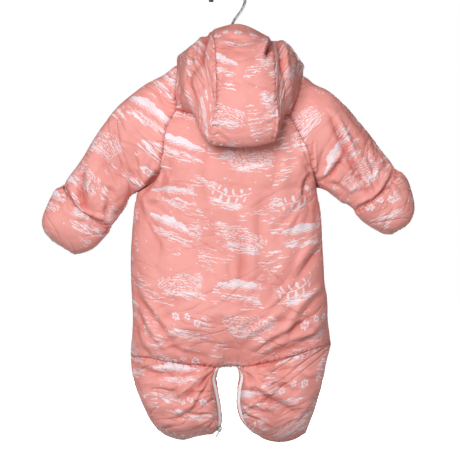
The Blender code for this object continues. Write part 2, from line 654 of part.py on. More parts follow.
def move_to_suit(thing):
    for owner in list(thing.users_collection):
        owner.objects.unlink(thing)
    suit.objects.link(thing)


def block(name, size, centre, place, helper):
    """A box in a slider's own frame: X across the tape, Y along it, Z out of the cloth."""
    bpy.ops.mesh.primitive_cube_add(size=1.0)
    thing = bpy.context.object
    thing.name = name
    scaled = Matrix.Diagonal((*(Vector(size) * MM), 1.0))
    thing.data.transform(Matrix.Translation(Vector(centre) * MM) @ scaled)
    thing.matrix_world = place
    if helper:
        thing.hide_render = True
        thing.display_type = "WIRE"
    else:
        move_to_suit(thing)
    return thing


def slider_place(zip_name, row, upright):
    """The tape's frame between a row and the next. Upright is 1 or -1, so that its pull hangs down."""
    middle = grids[zip_name][0][row:row + 2].mean(axis=(0, 1))
    out = normals[zip_name][row:row + 2].mean(axis=(0, 1))
    along = (grids[zip_name][0][row] - grids[zip_name][0][row + 1]).mean(axis=0) * upright
    out = Vector(out).normalized()
    along = (Vector(along) - Vector(along).dot(out) * out).normalized()
    across = along.cross(out)
    turn = Matrix((across, along, out)).transposed().to_4x4()
    return Matrix.Translation(Vector(middle) * MM) @ turn


def slider_and_pull(name, place):
    floor = SLIDER_CLEAR - ZIP_SUNK
    top = floor + SLIDER_THICK
    body_size = (SLIDER_WIDTH, SLIDER_LENGTH, SLIDER_THICK)
    body = block(name + "_slider", body_size, (0, 0, floor + SLIDER_THICK / 2), place, False)
    soften(body, SLIDER_SOFT, 2)
    # The bridge rises from inside the body, and its window is cut above the body's top.
    bridge_size = (BRIDGE_WIDTH, BRIDGE_LENGTH, BRIDGE_RISE + BRIDGE_SUNK)
    bridge_middle = top + (BRIDGE_RISE - BRIDGE_SUNK) / 2
    bridge = block(name + "_bridge", bridge_size, (0, 0, bridge_middle), place, True)
    window_size = (BRIDGE_WIDTH * 2, BRIDGE_LENGTH - 2 * BRIDGE_BAR, BRIDGE_RISE - BRIDGE_BAR)
    window_middle = top + (BRIDGE_RISE - BRIDGE_BAR) / 2
    window = block(name + "_window", window_size, (0, 0, window_middle), place, True)
    for helper, way in ((bridge, "UNION"), (window, "DIFFERENCE")):
        cut = body.modifiers.new(helper.name, "BOOLEAN")
        cut.operation = way
        cut.object = helper
    finish(body, "steel")
    flat = bpy.data.curves.new(name + "_pull", "CURVE")
    flat.dimensions = "2D"
    flat.fill_mode = "BOTH"
    flat.extrude = PULL_THICK / 2 * MM
    for width, high, low, corner in (
        (PULL_WIDTH, PULL_BAR / 2, PULL_BAR / 2 - PULL_LENGTH, PULL_CORNER),
        (SLOT_WIDTH, -PULL_BAR / 2, -PULL_BAR / 2 - SLOT_LENGTH, SLOT_CORNER),
    ):
        outline = rounded(width, high, low, corner)
        line = flat.splines.new("POLY")
        line.use_cyclic_u = True
        line.points.add(len(outline) - 1)
        for point, (x, y) in zip(line.points, outline):
            point.co = (x * MM, y * MM, 0, 1)
    pull = bpy.data.objects.new(name + "_pull", flat)
    pull.matrix_world = place @ Matrix.Translation((0, 0, window_middle * MM))
    finish(pull, "steel")


def rounded(width, high, low, corner):
    """A rectangle's outline with round corners."""
    outline = []
    upper, lower = high - corner, low + corner
    for quarter, (x, y) in enumerate(((1, upper), (-1, upper), (-1, lower), (1, lower))):
        for step in range(4):
            turn = math.pi / 2 * (quarter + step / 3)
            outline.append((x * (width / 2 - corner) + corner * math.cos(turn), y + corner * math.sin(turn)))
    return outline


# ---- build ------------------------------------------------------------------------------------

for old in list(bpy.data.objects):
    bpy.data.objects.remove(old, do_unlink=True)
suit = bpy.data.collections.new("baby_snowsuit")
bpy.context.scene.collection.children.link(suit)

# Each piece's grid, and whether its faces turn over so that they point out.
grids = {
    "back": (back_grid(), True),
    "front_left": (front_grid("left"), False),
    "front_right": (front_grid("right"), True),
    "back_leg_left": (back_leg_grid("left"), True),
    "back_leg_right": (back_leg_grid("right"), False),
    "sleeve_left": (sleeve_grid("left"), False),
    "sleeve_right": (sleeve_grid("right"), True),
    "hood_middle": (hood_middle_grid(), False),
    "hood_side_left": (hood_side_grid("left"), True),
    "hood_side_right": (hood_side_grid("right"), False),
    "front_zip": (front_zip_grid(), False),
    "leg_zip": (leg_zip_grid(), False),
}
normals = shared_normals(grids)
grids = {name: (press_folds(grid, normals[name]), turned) for name, (grid, turned) in grids.items()}
normals = shared_normals(grids)
for name, (grid, turned) in grids.items():
    is_tube, tape = name.startswith("sleeve"), name.endswith("zip")
    sunk, thick = (ZIP_SUNK, ZIP_THICK) if tape else (0.0, WALL)
    outer = parted(grid - normals[name] * sunk, normals[name], turned, is_tube)
    inner = parted(grid - normals[name] * (sunk + thick), normals[name], turned, is_tube)
    wall(name, outer, inner, turned, "zip" if tape else "cloth", is_tube)

# The mittens go over the sleeves' ends. Each is a bag, closed by a seam at its far end.
for side in ("left", "right"):
    grid = mitten_grid(side)
    turned = side == "right"
    outward = shared_normals({"mitten": (grid, turned)})["mitten"]
    inner = grid - outward * WALL
    inner[-1] -= bag_axis(grid) * WALL
    wall("mitten_" + side, grid, inner, turned, "cloth", True, True)

hanger_bar()
hanger_hook()
slider_and_pull("front", slider_place("front_zip", SLIDER_ROW, 1))
slider_and_pull("leg", slider_place("leg_zip", SLIDER_ROW, -1))
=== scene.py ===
"""A baby's padded snowsuit with a three-panel hood, hung by its back on a child's clothes hanger.

The suit's back faces -Y and its zips face +Y. Tables of seams and creases are in millimetres.
"""

import math

import bpy
import numpy as np
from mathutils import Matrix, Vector, kdtree, noise


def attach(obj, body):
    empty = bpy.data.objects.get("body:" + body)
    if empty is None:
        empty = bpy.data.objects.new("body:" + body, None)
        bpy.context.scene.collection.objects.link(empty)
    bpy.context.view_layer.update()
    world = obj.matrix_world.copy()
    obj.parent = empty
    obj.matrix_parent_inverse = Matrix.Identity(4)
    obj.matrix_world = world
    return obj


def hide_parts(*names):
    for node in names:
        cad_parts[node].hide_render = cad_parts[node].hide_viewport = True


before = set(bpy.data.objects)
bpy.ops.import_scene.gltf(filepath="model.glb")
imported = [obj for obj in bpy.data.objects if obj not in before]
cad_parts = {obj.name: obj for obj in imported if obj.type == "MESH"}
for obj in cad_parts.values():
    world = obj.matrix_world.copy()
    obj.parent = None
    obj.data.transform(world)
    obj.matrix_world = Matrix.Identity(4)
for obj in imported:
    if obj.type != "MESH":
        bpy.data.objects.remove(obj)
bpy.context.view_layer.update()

# ---- Studio -----------------------------------------------------------------------------------
# A white room: a matt floor, a pale shell all round that only the camera sees, and three soft boxes,
# two before the hanging suit and one behind it.

FLOOR_LEVEL, FLOOR_REACH, ROOM_REACH = -0.70, 12.0, 16.0
CAMERA_PLACE = (0.0024, -5.0, -0.349)
CAMERA_LENS = 279.5
LIGHTS_AIM = (0, 0, -0.34)
LIGHTS = [
    # name, place, width and height, watts
    ("key_box", (-0.7, -2.9, 0.75), (1.5, 1.5), 98), ("fill_box", (1.4, -2.8, -0.2), (1.4, 1.8), 9),
    ("rear_box", (0.4, 3.4, -0.1), (1.2, 1.2), 90),
]


def add(tree, kind, *values, **settings):
    """A shader or geometry node, with its inputs linked or set in order, or by name from a dict."""
    node = tree.nodes.new(kind)
    for key, value in settings.items():
        setattr(node, key, value)
    named = values[0].items() if values and isinstance(values[0], dict) else enumerate(values)
    for key, value in named:
        value = getattr(value, "socket", value)
        if isinstance(value, bpy.types.NodeSocket):
            tree.links.new(value, node.inputs[key])
        else:
            node.inputs[key].default_value = value
    return node


def new_finish(name, values):
    """A material with its shader's own sockets set, and the tree and shader to build on."""
    material = bpy.data.materials.new(name)
    material.use_nodes = True
    shader = material.node_tree.nodes["Principled BSDF"]
    for key, value in values.items():
        shader.inputs[key].default_value = value
    return material, material.node_tree, shader


def add_relief(tree, shader, strength, depth, height):
    bump = add(tree, "ShaderNodeBump", {"Strength": strength, "Distance": depth, "Height": height})
    tree.links.new(bump.outputs["Normal"], shader.inputs["Normal"])


def placed(name, data, place=(0, 0, 0), turn=(0, 0, 0)):
    thing = bpy.data.objects.new(name, data)
    thing.location, thing.rotation_euler = place, turn
    bpy.context.scene.collection.objects.link(thing)
    return thing


def mesh_object(name, points, faces, edges=()):
    mesh = bpy.data.meshes.new(name)
    mesh.from_pydata([tuple(point) for point in points], edges, faces)
    mesh.shade_smooth()
    return placed(name, mesh)


floor_rim = [(FLOOR_REACH * math.cos(turn), FLOOR_REACH * math.sin(turn), FLOOR_LEVEL)
             for turn in np.linspace(0, 2 * np.pi, 96, endpoint=False)]
floor = mesh_object("floor", floor_rim, [tuple(range(len(floor_rim)))])
floor_paint, tree, shader = new_finish("pale_floor", {
    "Base Color": (0.88, 0.88, 0.88, 1), "Roughness": 0.9,
    "Emission Color": (1, 1, 1, 1), "Emission Strength": 0.9})
speckle = add(tree, "ShaderNodeTexNoise", {"Scale": 40.0, "Detail": 4.0})
add_relief(tree, shader, 0.05, 0.001, speckle.outputs["Fac"])
floor.data.materials.append(floor_paint)
floor.visible_diffuse = False

bpy.ops.mesh.primitive_uv_sphere_add(segments=64, ring_count=32, radius=ROOM_REACH)
room = bpy.context.object
room.name = "room"
room.data.materials.append(new_finish("white_room", {
    "Base Color": (0, 0, 0, 1), "Roughness": 1.0, "Specular IOR Level": 0.0,
    "Emission Color": (1, 1, 1, 1), "Emission Strength": 1.0})[0])
room.visible_diffuse = room.visible_glossy = room.visible_shadow = room.visible_transmission = False

world = bpy.data.worlds.new("studio_air")
world.use_nodes = True
air = world.node_tree.nodes["Background"]
air.inputs["Color"].default_value = (1.0, 0.84, 0.80, 1)
air.inputs["Strength"].default_value = 0.19
bpy.context.scene.world = world
bpy.context.scene.view_settings.view_transform = "Standard"

for name, place, size, power in LIGHTS:
    lamp = bpy.data.lights.new(name, "AREA")
    lamp.shape = "RECTANGLE"
    lamp.size, lamp.size_y = size
    lamp.energy = power
    aim = Vector(LIGHTS_AIM) - Vector(place)
    placed(name, lamp, place, aim.to_track_quat("-Z", "Y").to_euler())

lens = bpy.data.cameras.new("camera")
lens.lens = CAMERA_LENS
lens.clip_end = 100.0
bpy.context.scene.camera = placed("camera", lens, CAMERA_PLACE, (math.pi / 2, 0, 0))

# ---- Hanger -----------------------------------------------------------------------------------
# A child's hanger: arms moulded in white plastic, a bright zinc-plated wire hook, and a dipped black
# tip. The arms lie inside the shoulders, so only the hook shows.


def two_tones(tree, share, low, high, blend="MIX"):
    """Colour that goes from one tone to another by a share."""
    low, high = [(*tone, 1) if isinstance(tone, tuple) else tone for tone in (low, high)]
    return add(tree, "ShaderNodeMix", {"Factor": share, 6: low, 7: high}, data_type="RGBA",
               blend_type=blend).outputs[2]


def grained(name, values, scale, detail=2.0, twist=None, tones=None, roughness=None, relief=None):
    """A finish with a fine grain, of specks or of twisted yarn, for its tone, gloss and relief."""
    material, tree, shader = new_finish(name, values)
    given = {"Vector": add(tree, "ShaderNodeTexCoord").outputs["Object"], "Scale": scale}
    if twist is None:
        grain = add(tree, "ShaderNodeTexNoise", {**given, "Detail": detail})
    else:
        given["Distortion"] = twist
        grain = add(tree, "ShaderNodeTexWave", given, bands_direction="DIAGONAL")
    grain = grain.outputs["Fac"]
    if tones:
        tree.links.new(two_tones(tree, grain, *tones), shader.inputs["Base Color"])
    if roughness:
        rough = add(tree, "ShaderNodeMapRange", grain, 0.3, 0.7, *roughness)
        tree.links.new(rough.outputs["Result"], shader.inputs["Roughness"])
    if relief:
        add_relief(tree, shader, *relief, grain)
    return material


def refinish(material, *solids):
    for solid in solids:
        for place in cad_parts[solid].material_slots:
            place.material = material


arm_look = {"Base Color": (0.80, 0.80, 0.79, 1), "Roughness": 0.38, "Coat Weight": 0.1}
refinish(grained("arm_plastic", arm_look, 90.0, 3.0, relief=(0.15, 0.0004)), "hanger_bar")
refinish(grained("hook_wire", {"Metallic": 1.0}, 260.0, 4.0, roughness=(0.16, 0.34),
                 relief=(0.2, 0.0002), tones=((0.26, 0.27, 0.29), (0.50, 0.51, 0.53))), "hanger_hook")
refinish(grained("tip_rubber", {"Base Color": (0.012, 0.012, 0.013, 1), "Roughness": 0.45},
                 400.0, relief=(0.15, 0.0003)), "hook_tip")

# ---- Back -------------------------------------------------------------------------------------
# The back is cut in one piece of printed, padded cotton from the hood's seam to the seat. It is sewn
# to the sleeves along the raglan seams, to the fronts down the sides and to the back legs at the seat.

FINE = 8  # rows of cloth for each step of a seam
RAGLAN_STEPS, SIDE_STEPS = 8 * FINE, 12 * FINE
LEG_COLUMNS, CROTCH_COLUMNS = 9 * FINE, 2 * FINE
BACK_COLUMNS = 2 * LEG_COLUMNS + CROTCH_COLUMNS
RAGLAN_BACK = {
    "left": [(-73, -34, -182), (-87, -42, -206), (-92, -46, -241), (-98, -41, -268), (-110, -27, -285),
             (-128, 0, -297)],
    "right": [(86, -34, -189), (103, -42, -220), (113, -45, -242), (117, -38, -262), (121, -22, -277),
              (124, 0, -290)],
}
SIDE_SEAM = {
    "left": [(-128, 0, -297), (-132, 0, -329), (-135.5, 0, -377), (-135.5, 0, -412), (-134, 0, -447),
             (-133, 0, -475), (-135.5, 0, -506), (-136, 0, -527)],
    "right": [(124, 0, -290), (130, 0, -335), (131.5, 0, -370), (133, 0, -394), (134.5, 0, -422),
              (138, 0, -444), (139, 0, -468), (141, 0, -490), (143, 0, -509)],
}
NECK_BACK = [(-73, -34, -182), (-40, -42, -190), (5, -45, -194), (50, -42, -193), (86, -34, -189)]
SEAT_SEAM = {
    "left": [(-136, 0, -527), (-126, -18, -527), (-110, -29, -528), (-84, -33, -533), (-55, -32, -537),
             (-32, -30, -538)],
    "right": [(143, 0, -509), (133, -18, -512), (112, -29, -519), (82, -33, -528), (54, -32, -534),
              (32, -30, -538)],
}
# The two-way zip round both legs: where it runs, and which way points across it, toward the front.
LEG_ZIP = [
    # x, y, z, across x, across y, across z
    (-21.0, 2, -634.5, 0.35, 0.90, 0.25), (-13.0, -5, -624, 0.75, 0.62, 0.20),
    (-11.5, -8, -610, 0.85, 0.52, 0.00), (-13.0, -12, -594, 0.86, 0.50, 0.00),
    (-16.5, -18, -575, 0.86, 0.50, 0.00), (-20.0, -24, -556, 0.75, 0.66, 0.00),
    (-14.0, -25, -542, 0.20, 0.98, 0.05), (-1.0, -22, -538, 0.00, 1.00, 0.05),
    (13.0, -25, -540, -0.20, 0.98, 0.05), (18.5, -24, -553, -0.75, 0.66, 0.00),
    (15.5, -19, -570, -0.86, 0.50, 0.00), (14.0, -13.5, -588, -0.86, 0.50, 0.00),
    (16.5, -8, -604, -0.85, 0.52, 0.05), (22.5, -4, -618, -0.70, 0.62, 0.25),
    (33.0, 2, -632, -0.35, 0.90, 0.25),
]
CROTCH = 7  # the row of the zip's table that stands at the crotch
ZIP_HALF = 3.15
# How far the back stands out at its middle, by share of the way down.
BACK_DEPTH = [(0.0, -45), (0.12, -49), (0.35, -50), (0.6, -48), (0.8, -56), (0.93, -58), (1.0, -56)]
SIDES = {"left": -1, "right": 1}  # and the way that x runs toward each
SPAN_POINTS = 20  # points that a smooth curve is worked out at between two rows of its table


def run(points, axis=0):
    """The length run so far, from point to point along an axis."""
    steps = np.linalg.norm(np.diff(points, axis=axis), axis=-1)
    return np.concatenate([0 * steps.take([0], axis), np.cumsum(steps, axis=axis)], axis=axis)


def smooth_through(rows, steps, even=True, shares=None):
    """Points on a smooth curve through the rows, at shares of its length or of its rows."""
    rows = np.array(rows, float)
    ends = np.vstack([2 * rows[0] - rows[1], rows, 2 * rows[-1] - rows[-2]])
    share = np.linspace(0, 1, SPAN_POINTS, endpoint=False)[:, None]
    dense = [
        0.5 * (2 * b + (c - a) * share + (2 * a - 5 * b + 4 * c - d) * share**2
               + (3 * b - a - 3 * c + d) * share**3)
        for a, b, c, d in zip(ends, ends[1:], ends[2:], ends[3:])
    ]
    dense = np.vstack(dense + [rows[-1:]])
    along = run(dense[:, :3]) if even else np.arange(len(dense), dtype=float)
    wanted = along[-1] * (np.linspace(0, 1, steps + 1) if shares is None else shares)
    return np.stack([np.interp(wanted, along, column) for column in dense.T], axis=1)


def both_sides(table, steps):
    return {side: smooth_through(rows, steps) for side, rows in table.items()}


def between(first, second, share):
    """A grid of points that goes across from one line to another."""
    return first[:, None] * (1 - share[..., None]) + second[:, None] * share[..., None]


def unit(vectors):
    return vectors / np.maximum(np.linalg.norm(vectors, axis=-1, keepdims=True), 1e-9)


def level(table, share):
    """A table of (share, value...) read smoothly at each share."""
    table = np.array(table, float)
    return np.stack([np.interp(share, table[:, 0], column) for column in table[:, 1:].T], axis=-1)


def softened(values, times):
    """A row of values with its corners rounded off."""
    for _ in range(times):
        inside = (values[:-2] + 2 * values[1:-1] + values[2:]) / 4
        values = np.concatenate([values[:1], inside, values[-1:]])
    return values


def arch(across, roundness=2.5):
    return (1 - np.abs(2 * across - 1) ** roundness) ** (1 / roundness)


def spread(columns, both_ends=True):
    """Shares across a piece, closer together where the cloth turns."""
    even = np.linspace(0, 1, columns + 1)
    turned = (1 - np.cos(np.pi * even)) / 2 if both_ends else 1 - np.cos(np.pi / 2 * even)
    return (even + turned) / 2


def ease_to(grid, edge, from_end, steps):
    """Carry a piece's first or last row onto a seam, and the rows beside it part of the way."""
    move = edge - grid[-1 if from_end else 0]
    for step in range(steps * FINE):
        row = -1 - step if from_end else step
        grid[row] += move * (1 - step / (steps * FINE)) ** 2.2
    grid[-1 if from_end else 0] = edge


leg_rows = {
    "left": smooth_through(LEG_ZIP[:CROTCH][::-1], SIDE_STEPS),
    "right": smooth_through(LEG_ZIP[CROTCH + 1:], SIDE_STEPS),
}


def zip_edge(side, toward_front):
    """One edge of the leg zip, from the crotch to the foot."""
    line = leg_rows[side]
    return line[:, :3] + ZIP_HALF * (1 if toward_front else -1) * unit(line[:, 3:])


def crotch_edge(toward_front):
    """The leg zip's edge across the crotch, from the left leg to the right."""
    middle = np.array(LEG_ZIP[CROTCH], float)
    middle = middle[:3] + ZIP_HALF * (1 if toward_front else -1) * unit(middle[3:])
    ends = [zip_edge(side, toward_front)[0] for side in SIDES]
    return smooth_through([ends[0], middle, ends[1]], CROTCH_COLUMNS)


def seat_seam(side):
    return smooth_through(SEAT_SEAM[side] + [tuple(zip_edge(side, False)[0])], LEG_COLUMNS,
                          shares=spread(LEG_COLUMNS))


raglan_back = both_sides(RAGLAN_BACK, RAGLAN_STEPS)
side_seam = both_sides(SIDE_SEAM, SIDE_STEPS)
neck_back = smooth_through(NECK_BACK, BACK_COLUMNS)

left, right = [np.vstack([raglan_back[side], side_seam[side][1:]]) for side in SIDES]
down = np.linspace(0, 1, len(left))
turn = softened(np.clip((down - 0.25) / 0.2, 0, 1), 20)[:, None]
across = np.linspace(0, 1, BACK_COLUMNS + 1) * (1 - turn) + spread(BACK_COLUMNS) * turn
back = between(left, right, across)
stand = softened(level(BACK_DEPTH, down)[:, 0], 60)
back[..., 1] += (stand - (left[:, 1] + right[:, 1]) / 2)[:, None] * arch(across)
ease_to(back, neck_back, False, 4)
seat = np.vstack([seat_seam("left"), crotch_edge(False)[1:-1], seat_seam("right")[::-1]])
ease_to(back, seat, True, 3)

# Every cloth piece: its grid of points, and whether its faces turn over so that they point out.
pieces = {"back": (back, True)}

# Creases in the cloth's back: three points (x, z), the reach to each side, and the depth.
CREASES = [
    # x, z, x, z, x, z, reach, depth
    (131, -370, 110, -396, 98, -413, 10, 6.0), (139, -433, 110, -457, 84, -502, 9, 6.0),
    (137, -444, 113, -462, 96, -490, 6, 2.5), (92, -461, 64, -480, 23, -508, 8, 3.5),
    (139, -480, 110, -504, 40, -531, 8, 5.0), (-134, -433, -108, -466, -71, -514, 8, 6.0),
    (-132, -456, -116, -486, -90, -520, 6, 4.0), (-133, -472, -126, -500, -112, -520, 5, 2.5),
    (134, -452, 98, -482, 30, -522, 6, 4.0), (-100, -498, -70, -516, -30, -526, 6, 3.0),
    (-60, -486, -20, -508, 24, -516, 7, 2.0), (88, -430, 60, -462, 20, -490, 8, 2.2),
    (2, -388, 1, -402, 4, -419, 9, 1.8), (14, -342, 20, -384, 16, -427, 14, 4.0),
    (-19, -471, -10, -473, -2, -478, 7, 1.2), (100, -377, 86, -410, 56, -445, 12, 2.5),
    (-110, -328, -96, -356, -98, -394, 12, 2.5), (47, -307, 42, -342, 47, -377, 14, 2.5),
    (-82, -237, -79, -265, -84, -307, 12, 2.5), (117, -237, 109, -279, 114, -321, 11, 2.5),
    (60, -232, 66, -262, 60, -296, 13, 1.8), (-30, -240, -34, -280, -28, -318, 14, 1.8),
]

# ---- Fronts -----------------------------------------------------------------------------------
# Each front is one piece from the neck to the foot, either side of the long front zip. Below the
# crotch it is the front of a leg, edged inside by the leg zip and closed at the foot.

FRONT_COLUMNS = LEG_COLUMNS
RAGLAN_FRONT = {
    "left": [(-72, 23, -141), (-78, 34, -168), (-86, 42, -204), (-96, 42, -241), (-110, 30, -274),
             (-128, 0, -297)],
    "right": [(95, 23, -152), (101, 34, -178), (106, 42, -208), (111, 42, -240), (118, 28, -270),
              (124, 0, -290)],
}
NECK_FRONT = {
    "left": [(-72, 23, -141), (-54, 38, -164), (-26, 46, -186), (-2.15, 48, -195)],
    "right": [(95, 23, -152), (73, 38, -171), (39, 46, -188), (4.15, 48, -195)],
}
LEG_SIDE = {
    "left": [(-136, 0, -527), (-133.5, 1, -551), (-128, 2, -573), (-119, 3, -594), (-110, 4, -612),
             (-98, 5, -629)],
    "right": [(143, 0, -509), (135.5, 1, -539), (131, 2, -565), (125.5, 3, -584), (120.5, 4, -601),
              (108, 5, -633)],
}
FOOT_SEAM = {
    "left": [(-98, 5, -629), (-84, 6, -638), (-64, 6, -643), (-44, 5, -638)],
    "right": [(108, 5, -633), (93, 6, -642), (75, 6, -646), (54, 5, -643)],
}
FRONT_ZIP = [(1, 48, -195), (1, 49, -225), (1, 47, -300), (1, 45, -400), (1, 45, -470), (0.5, 43, -505),
             (-0.5, 33, -532), (-1, 12, -541), (-1, -18.5, -538)]
FRONT_BULGE = [(0.0, 0), (0.45, 0), (0.58, 6), (0.66, 32), (0.8, 34), (0.93, 26), (0.98, 14), (1.0, 0)]
# Below the crotch each front bulges past the leg zip: how far, the height it is greatest at, how far it
# reaches up and down, and how far across the leg.
LIP, LIP_HEIGHT, LIP_REACH, LIP_SHARE = 6.5, -560.0, 14.0, 0.08
LIP_TOP, LIP_EASE = -541.0, 6.0

raglan_front = both_sides(RAGLAN_FRONT, RAGLAN_STEPS)
leg_side = both_sides(LEG_SIDE, SIDE_STEPS)
neck_front = both_sides(NECK_FRONT, FRONT_COLUMNS)
front_opening = {
    side: smooth_through(FRONT_ZIP, RAGLAN_STEPS + SIDE_STEPS - FINE) + [way * ZIP_HALF, 0, 0]
    for side, way in SIDES.items()
}


def bell(far, reach):
    """One at no distance, falling away smoothly past the reach."""
    return np.exp(-(far / reach) ** 2)


def foot_seam(side, toward_front):
    ends = [zip_edge(side, front)[-1] for front in (False, True)]
    rows = FOOT_SEAM[side] + [tuple(sum(ends) / 2)]
    seam = smooth_through(rows, LEG_COLUMNS, shares=spread(LEG_COLUMNS))
    split = np.linspace(0, 1, 2 * FINE + 1)[:, None] ** 2
    seam[-1 - 2 * FINE:] += (ends[toward_front] - seam[-1]) * split
    return seam


for side, way in SIDES.items():
    outer = np.vstack([raglan_front[side], side_seam[side][1:], leg_side[side][1:]])
    leg = zip_edge(side, True)
    joint = np.linspace(front_opening[side][-1], leg[0], FINE + 1)[1:-1]
    inner = np.vstack([front_opening[side], joint, leg])
    down = np.linspace(0, 1, len(outer))
    legs = softened(np.clip((down - 0.5) / 0.14, 0, 1), 12)[:, None]
    across = spread(FRONT_COLUMNS, False) * (1 - legs) + spread(FRONT_COLUMNS) * legs
    front = between(outer, inner, across)
    once = (1 - (1 - across) ** 2.5) ** 0.4
    rise = (inner[:, 1] - outer[:, 1])[:, None]
    front[..., 1] = outer[:, 1][:, None] + rise * (once * (1 - legs) + across * legs)
    bulge = softened(level(FRONT_BULGE, down)[:, 0], 24)
    front[..., 1] += bulge[:, None] * arch(across) * (0.3 + 0.7 * legs)
    from_zip = (1 - across) / LIP_SHARE
    lip = bell(front[..., 2] - LIP_HEIGHT, LIP_REACH)
    lip *= np.clip((LIP_TOP - front[..., 2]) / LIP_EASE, 0, 1) * (across > 0)
    front[..., 0] -= way * LIP * lip * from_zip * np.exp(1 - from_zip)
    ease_to(front, neck_front[side], False, 5)
    ease_to(front, foot_seam(side, True), True, 3)
    pieces["front_" + side] = (front, side == "right")

FRONT_CREASES = [
    # x, z, x, z, x, z, reach, depth
    (-120, -436, -96, -464, -60, -500, 10, 5.0), (-126, -384, -104, -402, -84, -426, 9, 3.5),
    (124, -420, 96, -452, 62, -492, 10, 5.0), (128, -372, 106, -392, 84, -420, 9, 3.5),
    (-60, -240, -66, -284, -58, -330, 14, 2.5), (66, -250, 60, -300, 66, -344, 14, 2.5),
    (-26, -420, -40, -450, -62, -470, 10, 2.5), (30, -410, 44, -440, 64, -462, 10, 2.5),
    (-84, -552, -62, -566, -36, -568, 10, 5.0), (40, -566, 66, -574, 98, -570, 10, 5.0),
    (-104, -590, -80, -602, -52, -600, 9, 4.0), (44, -598, 70, -606, 98, -600, 9, 4.0),
]

# ---- Back legs --------------------------------------------------------------------------------
# The backs of the legs are short pieces under the seat, creased where the legs bend.

BACK_LEG_BULGE = [(0.0, 0), (0.1, 16), (0.3, 30), (0.6, 32), (0.85, 26), (0.95, 16), (1.0, 0)]

for side in SIDES:
    down = np.linspace(0, 1, SIDE_STEPS + 1)
    across = spread(LEG_COLUMNS)
    leg = between(leg_side[side], zip_edge(side, False), across)
    leg[..., 1] -= softened(level(BACK_LEG_BULGE, down)[:, 0], 10)[:, None] * arch(across)
    ease_to(leg, seat_seam(side), False, 3)
    ease_to(leg, foot_seam(side, False), True, 3)
    pieces["back_leg_" + side] = (leg, side == "left")

CREASES += [
    # x, z, x, z, x, z, reach, depth
    (-16, -543, -42, -567, -65, -588, 9, 6.5), (-24, -560, -42, -583, -46, -596, 6, 2.5),
    (-34, -588, -57, -604, -77, -616, 7, 4.0), (-16, -610, -21, -619, -30, -630, 5, 2.0),
    (-120, -590, -114, -600, -106, -608, 6, 2.0), (-132, -541, -93, -549, -57, -543, 8, 3.0),
    (25, -549, 57, -561, 92, -573, 8, 4.0), (19, -571, 47, -579, 100, -607, 9, 6.5),
    (19, -592, 37, -600, 57, -604, 6, 3.0), (17, -600, 26, -609, 42, -614, 5, 2.0),
    (22, -546, 30, -558, 39, -572, 6, 2.0), (100, -548, 117, -556, 131, -553, 7, 2.5),
    (86, -618, 100, -614, 114, -600, 6, 2.0), (-90, -570, -74, -582, -64, -600, 9, 2.0),
]

# ---- Sleeves ----------------------------------------------------------------------------------
# Raglan sleeves, cut to run into the shoulders up to the hood, with the seam underneath. They hang
# slack from the hanger's arms and crease at the armpit and the elbow.

SHOULDER_STEPS, SLEEVE_ROWS = 8 * FINE, 13 * FINE
RING_DETAIL = 60  # points that each string along a tube is worked out at
SHOULDER_NECK = {
    "left": [(-73, -34, -182), (-75, -25, -156), (-73, -12, -126.5), (-71, 3, -118), (-72, 23, -141)],
    "right": [(86, -34, -189), (97, -25, -162), (104, -12, -139), (105, 3, -133), (95, 23, -152)],
}
# Sleeve sections: the outline's top and underside, and half the section's depth.
SLEEVE = {
    "left": [
        # along, top x, top z, under x, under z, half depth
        (0.22, -110, -142, -135, -300, 38), (0.42, -149, -171.5, -140, -308.5, 37),
        (0.60, -178.5, -207.5, -145, -318, 34), (0.75, -201.5, -244, -151.5, -328.5, 31),
        (0.90, -225, -278, -159, -338, 27), (1.0, -235, -303, -176, -356, 24)],
    "right": [
        (0.22, 133, -150.5, 130, -291, 38), (0.42, 163, -173.5, 138, -294.5, 37),
        (0.60, 188, -203, 148, -302.5, 34), (0.75, 209, -230, 158, -311, 31),
        (0.90, 228.5, -257, 169, -315, 27), (1.0, 242, -283, 190, -331, 24)],
}
shoulder_neck = both_sides(SHOULDER_NECK, SHOULDER_STEPS)


def oval(row, count):
    """A ring from the underside round the back, over the top and down the front."""
    top, under, depth = np.array([row[1], 0, row[2]]), np.array([row[3], 0, row[4]]), row[5]
    turn = np.linspace(0, 2 * np.pi, count + 1)[:, None]
    flat = (top + under) / 2 - (top - under) / 2 * np.sign(np.cos(turn)) * np.abs(np.cos(turn)) ** 0.9
    return flat - np.array([0, depth, 0]) * np.sign(np.sin(turn)) * np.abs(np.sin(turn)) ** 0.85


def through_rings(shares, rings, rows):
    """A tube through rings at the given shares of its length."""
    strings = [smooth_through(line, RING_DETAIL, even=False) for line in np.stack(rings, axis=1)]
    spaced = softened(np.interp(np.linspace(0, 1, rows + 1), shares, np.linspace(0, 1, len(shares))), 8)
    known = np.linspace(0, 1, RING_DETAIL + 1)
    return np.stack([
        np.stack([np.interp(spaced, known, column) for column in string.T], axis=1)
        for string in strings], axis=1)


for side in SIDES:
    loop = np.vstack([raglan_back[side][::-1], shoulder_neck[side][1:], raglan_front[side][1:]])
    rings = [loop] + [oval(row, len(loop) - 1) for row in SLEEVE[side]]
    sleeve = through_rings([0.0] + [row[0] for row in SLEEVE[side]], rings, SLEEVE_ROWS)
    sleeve[0] = loop
    pieces["sleeve_" + side] = (sleeve, side == "right")

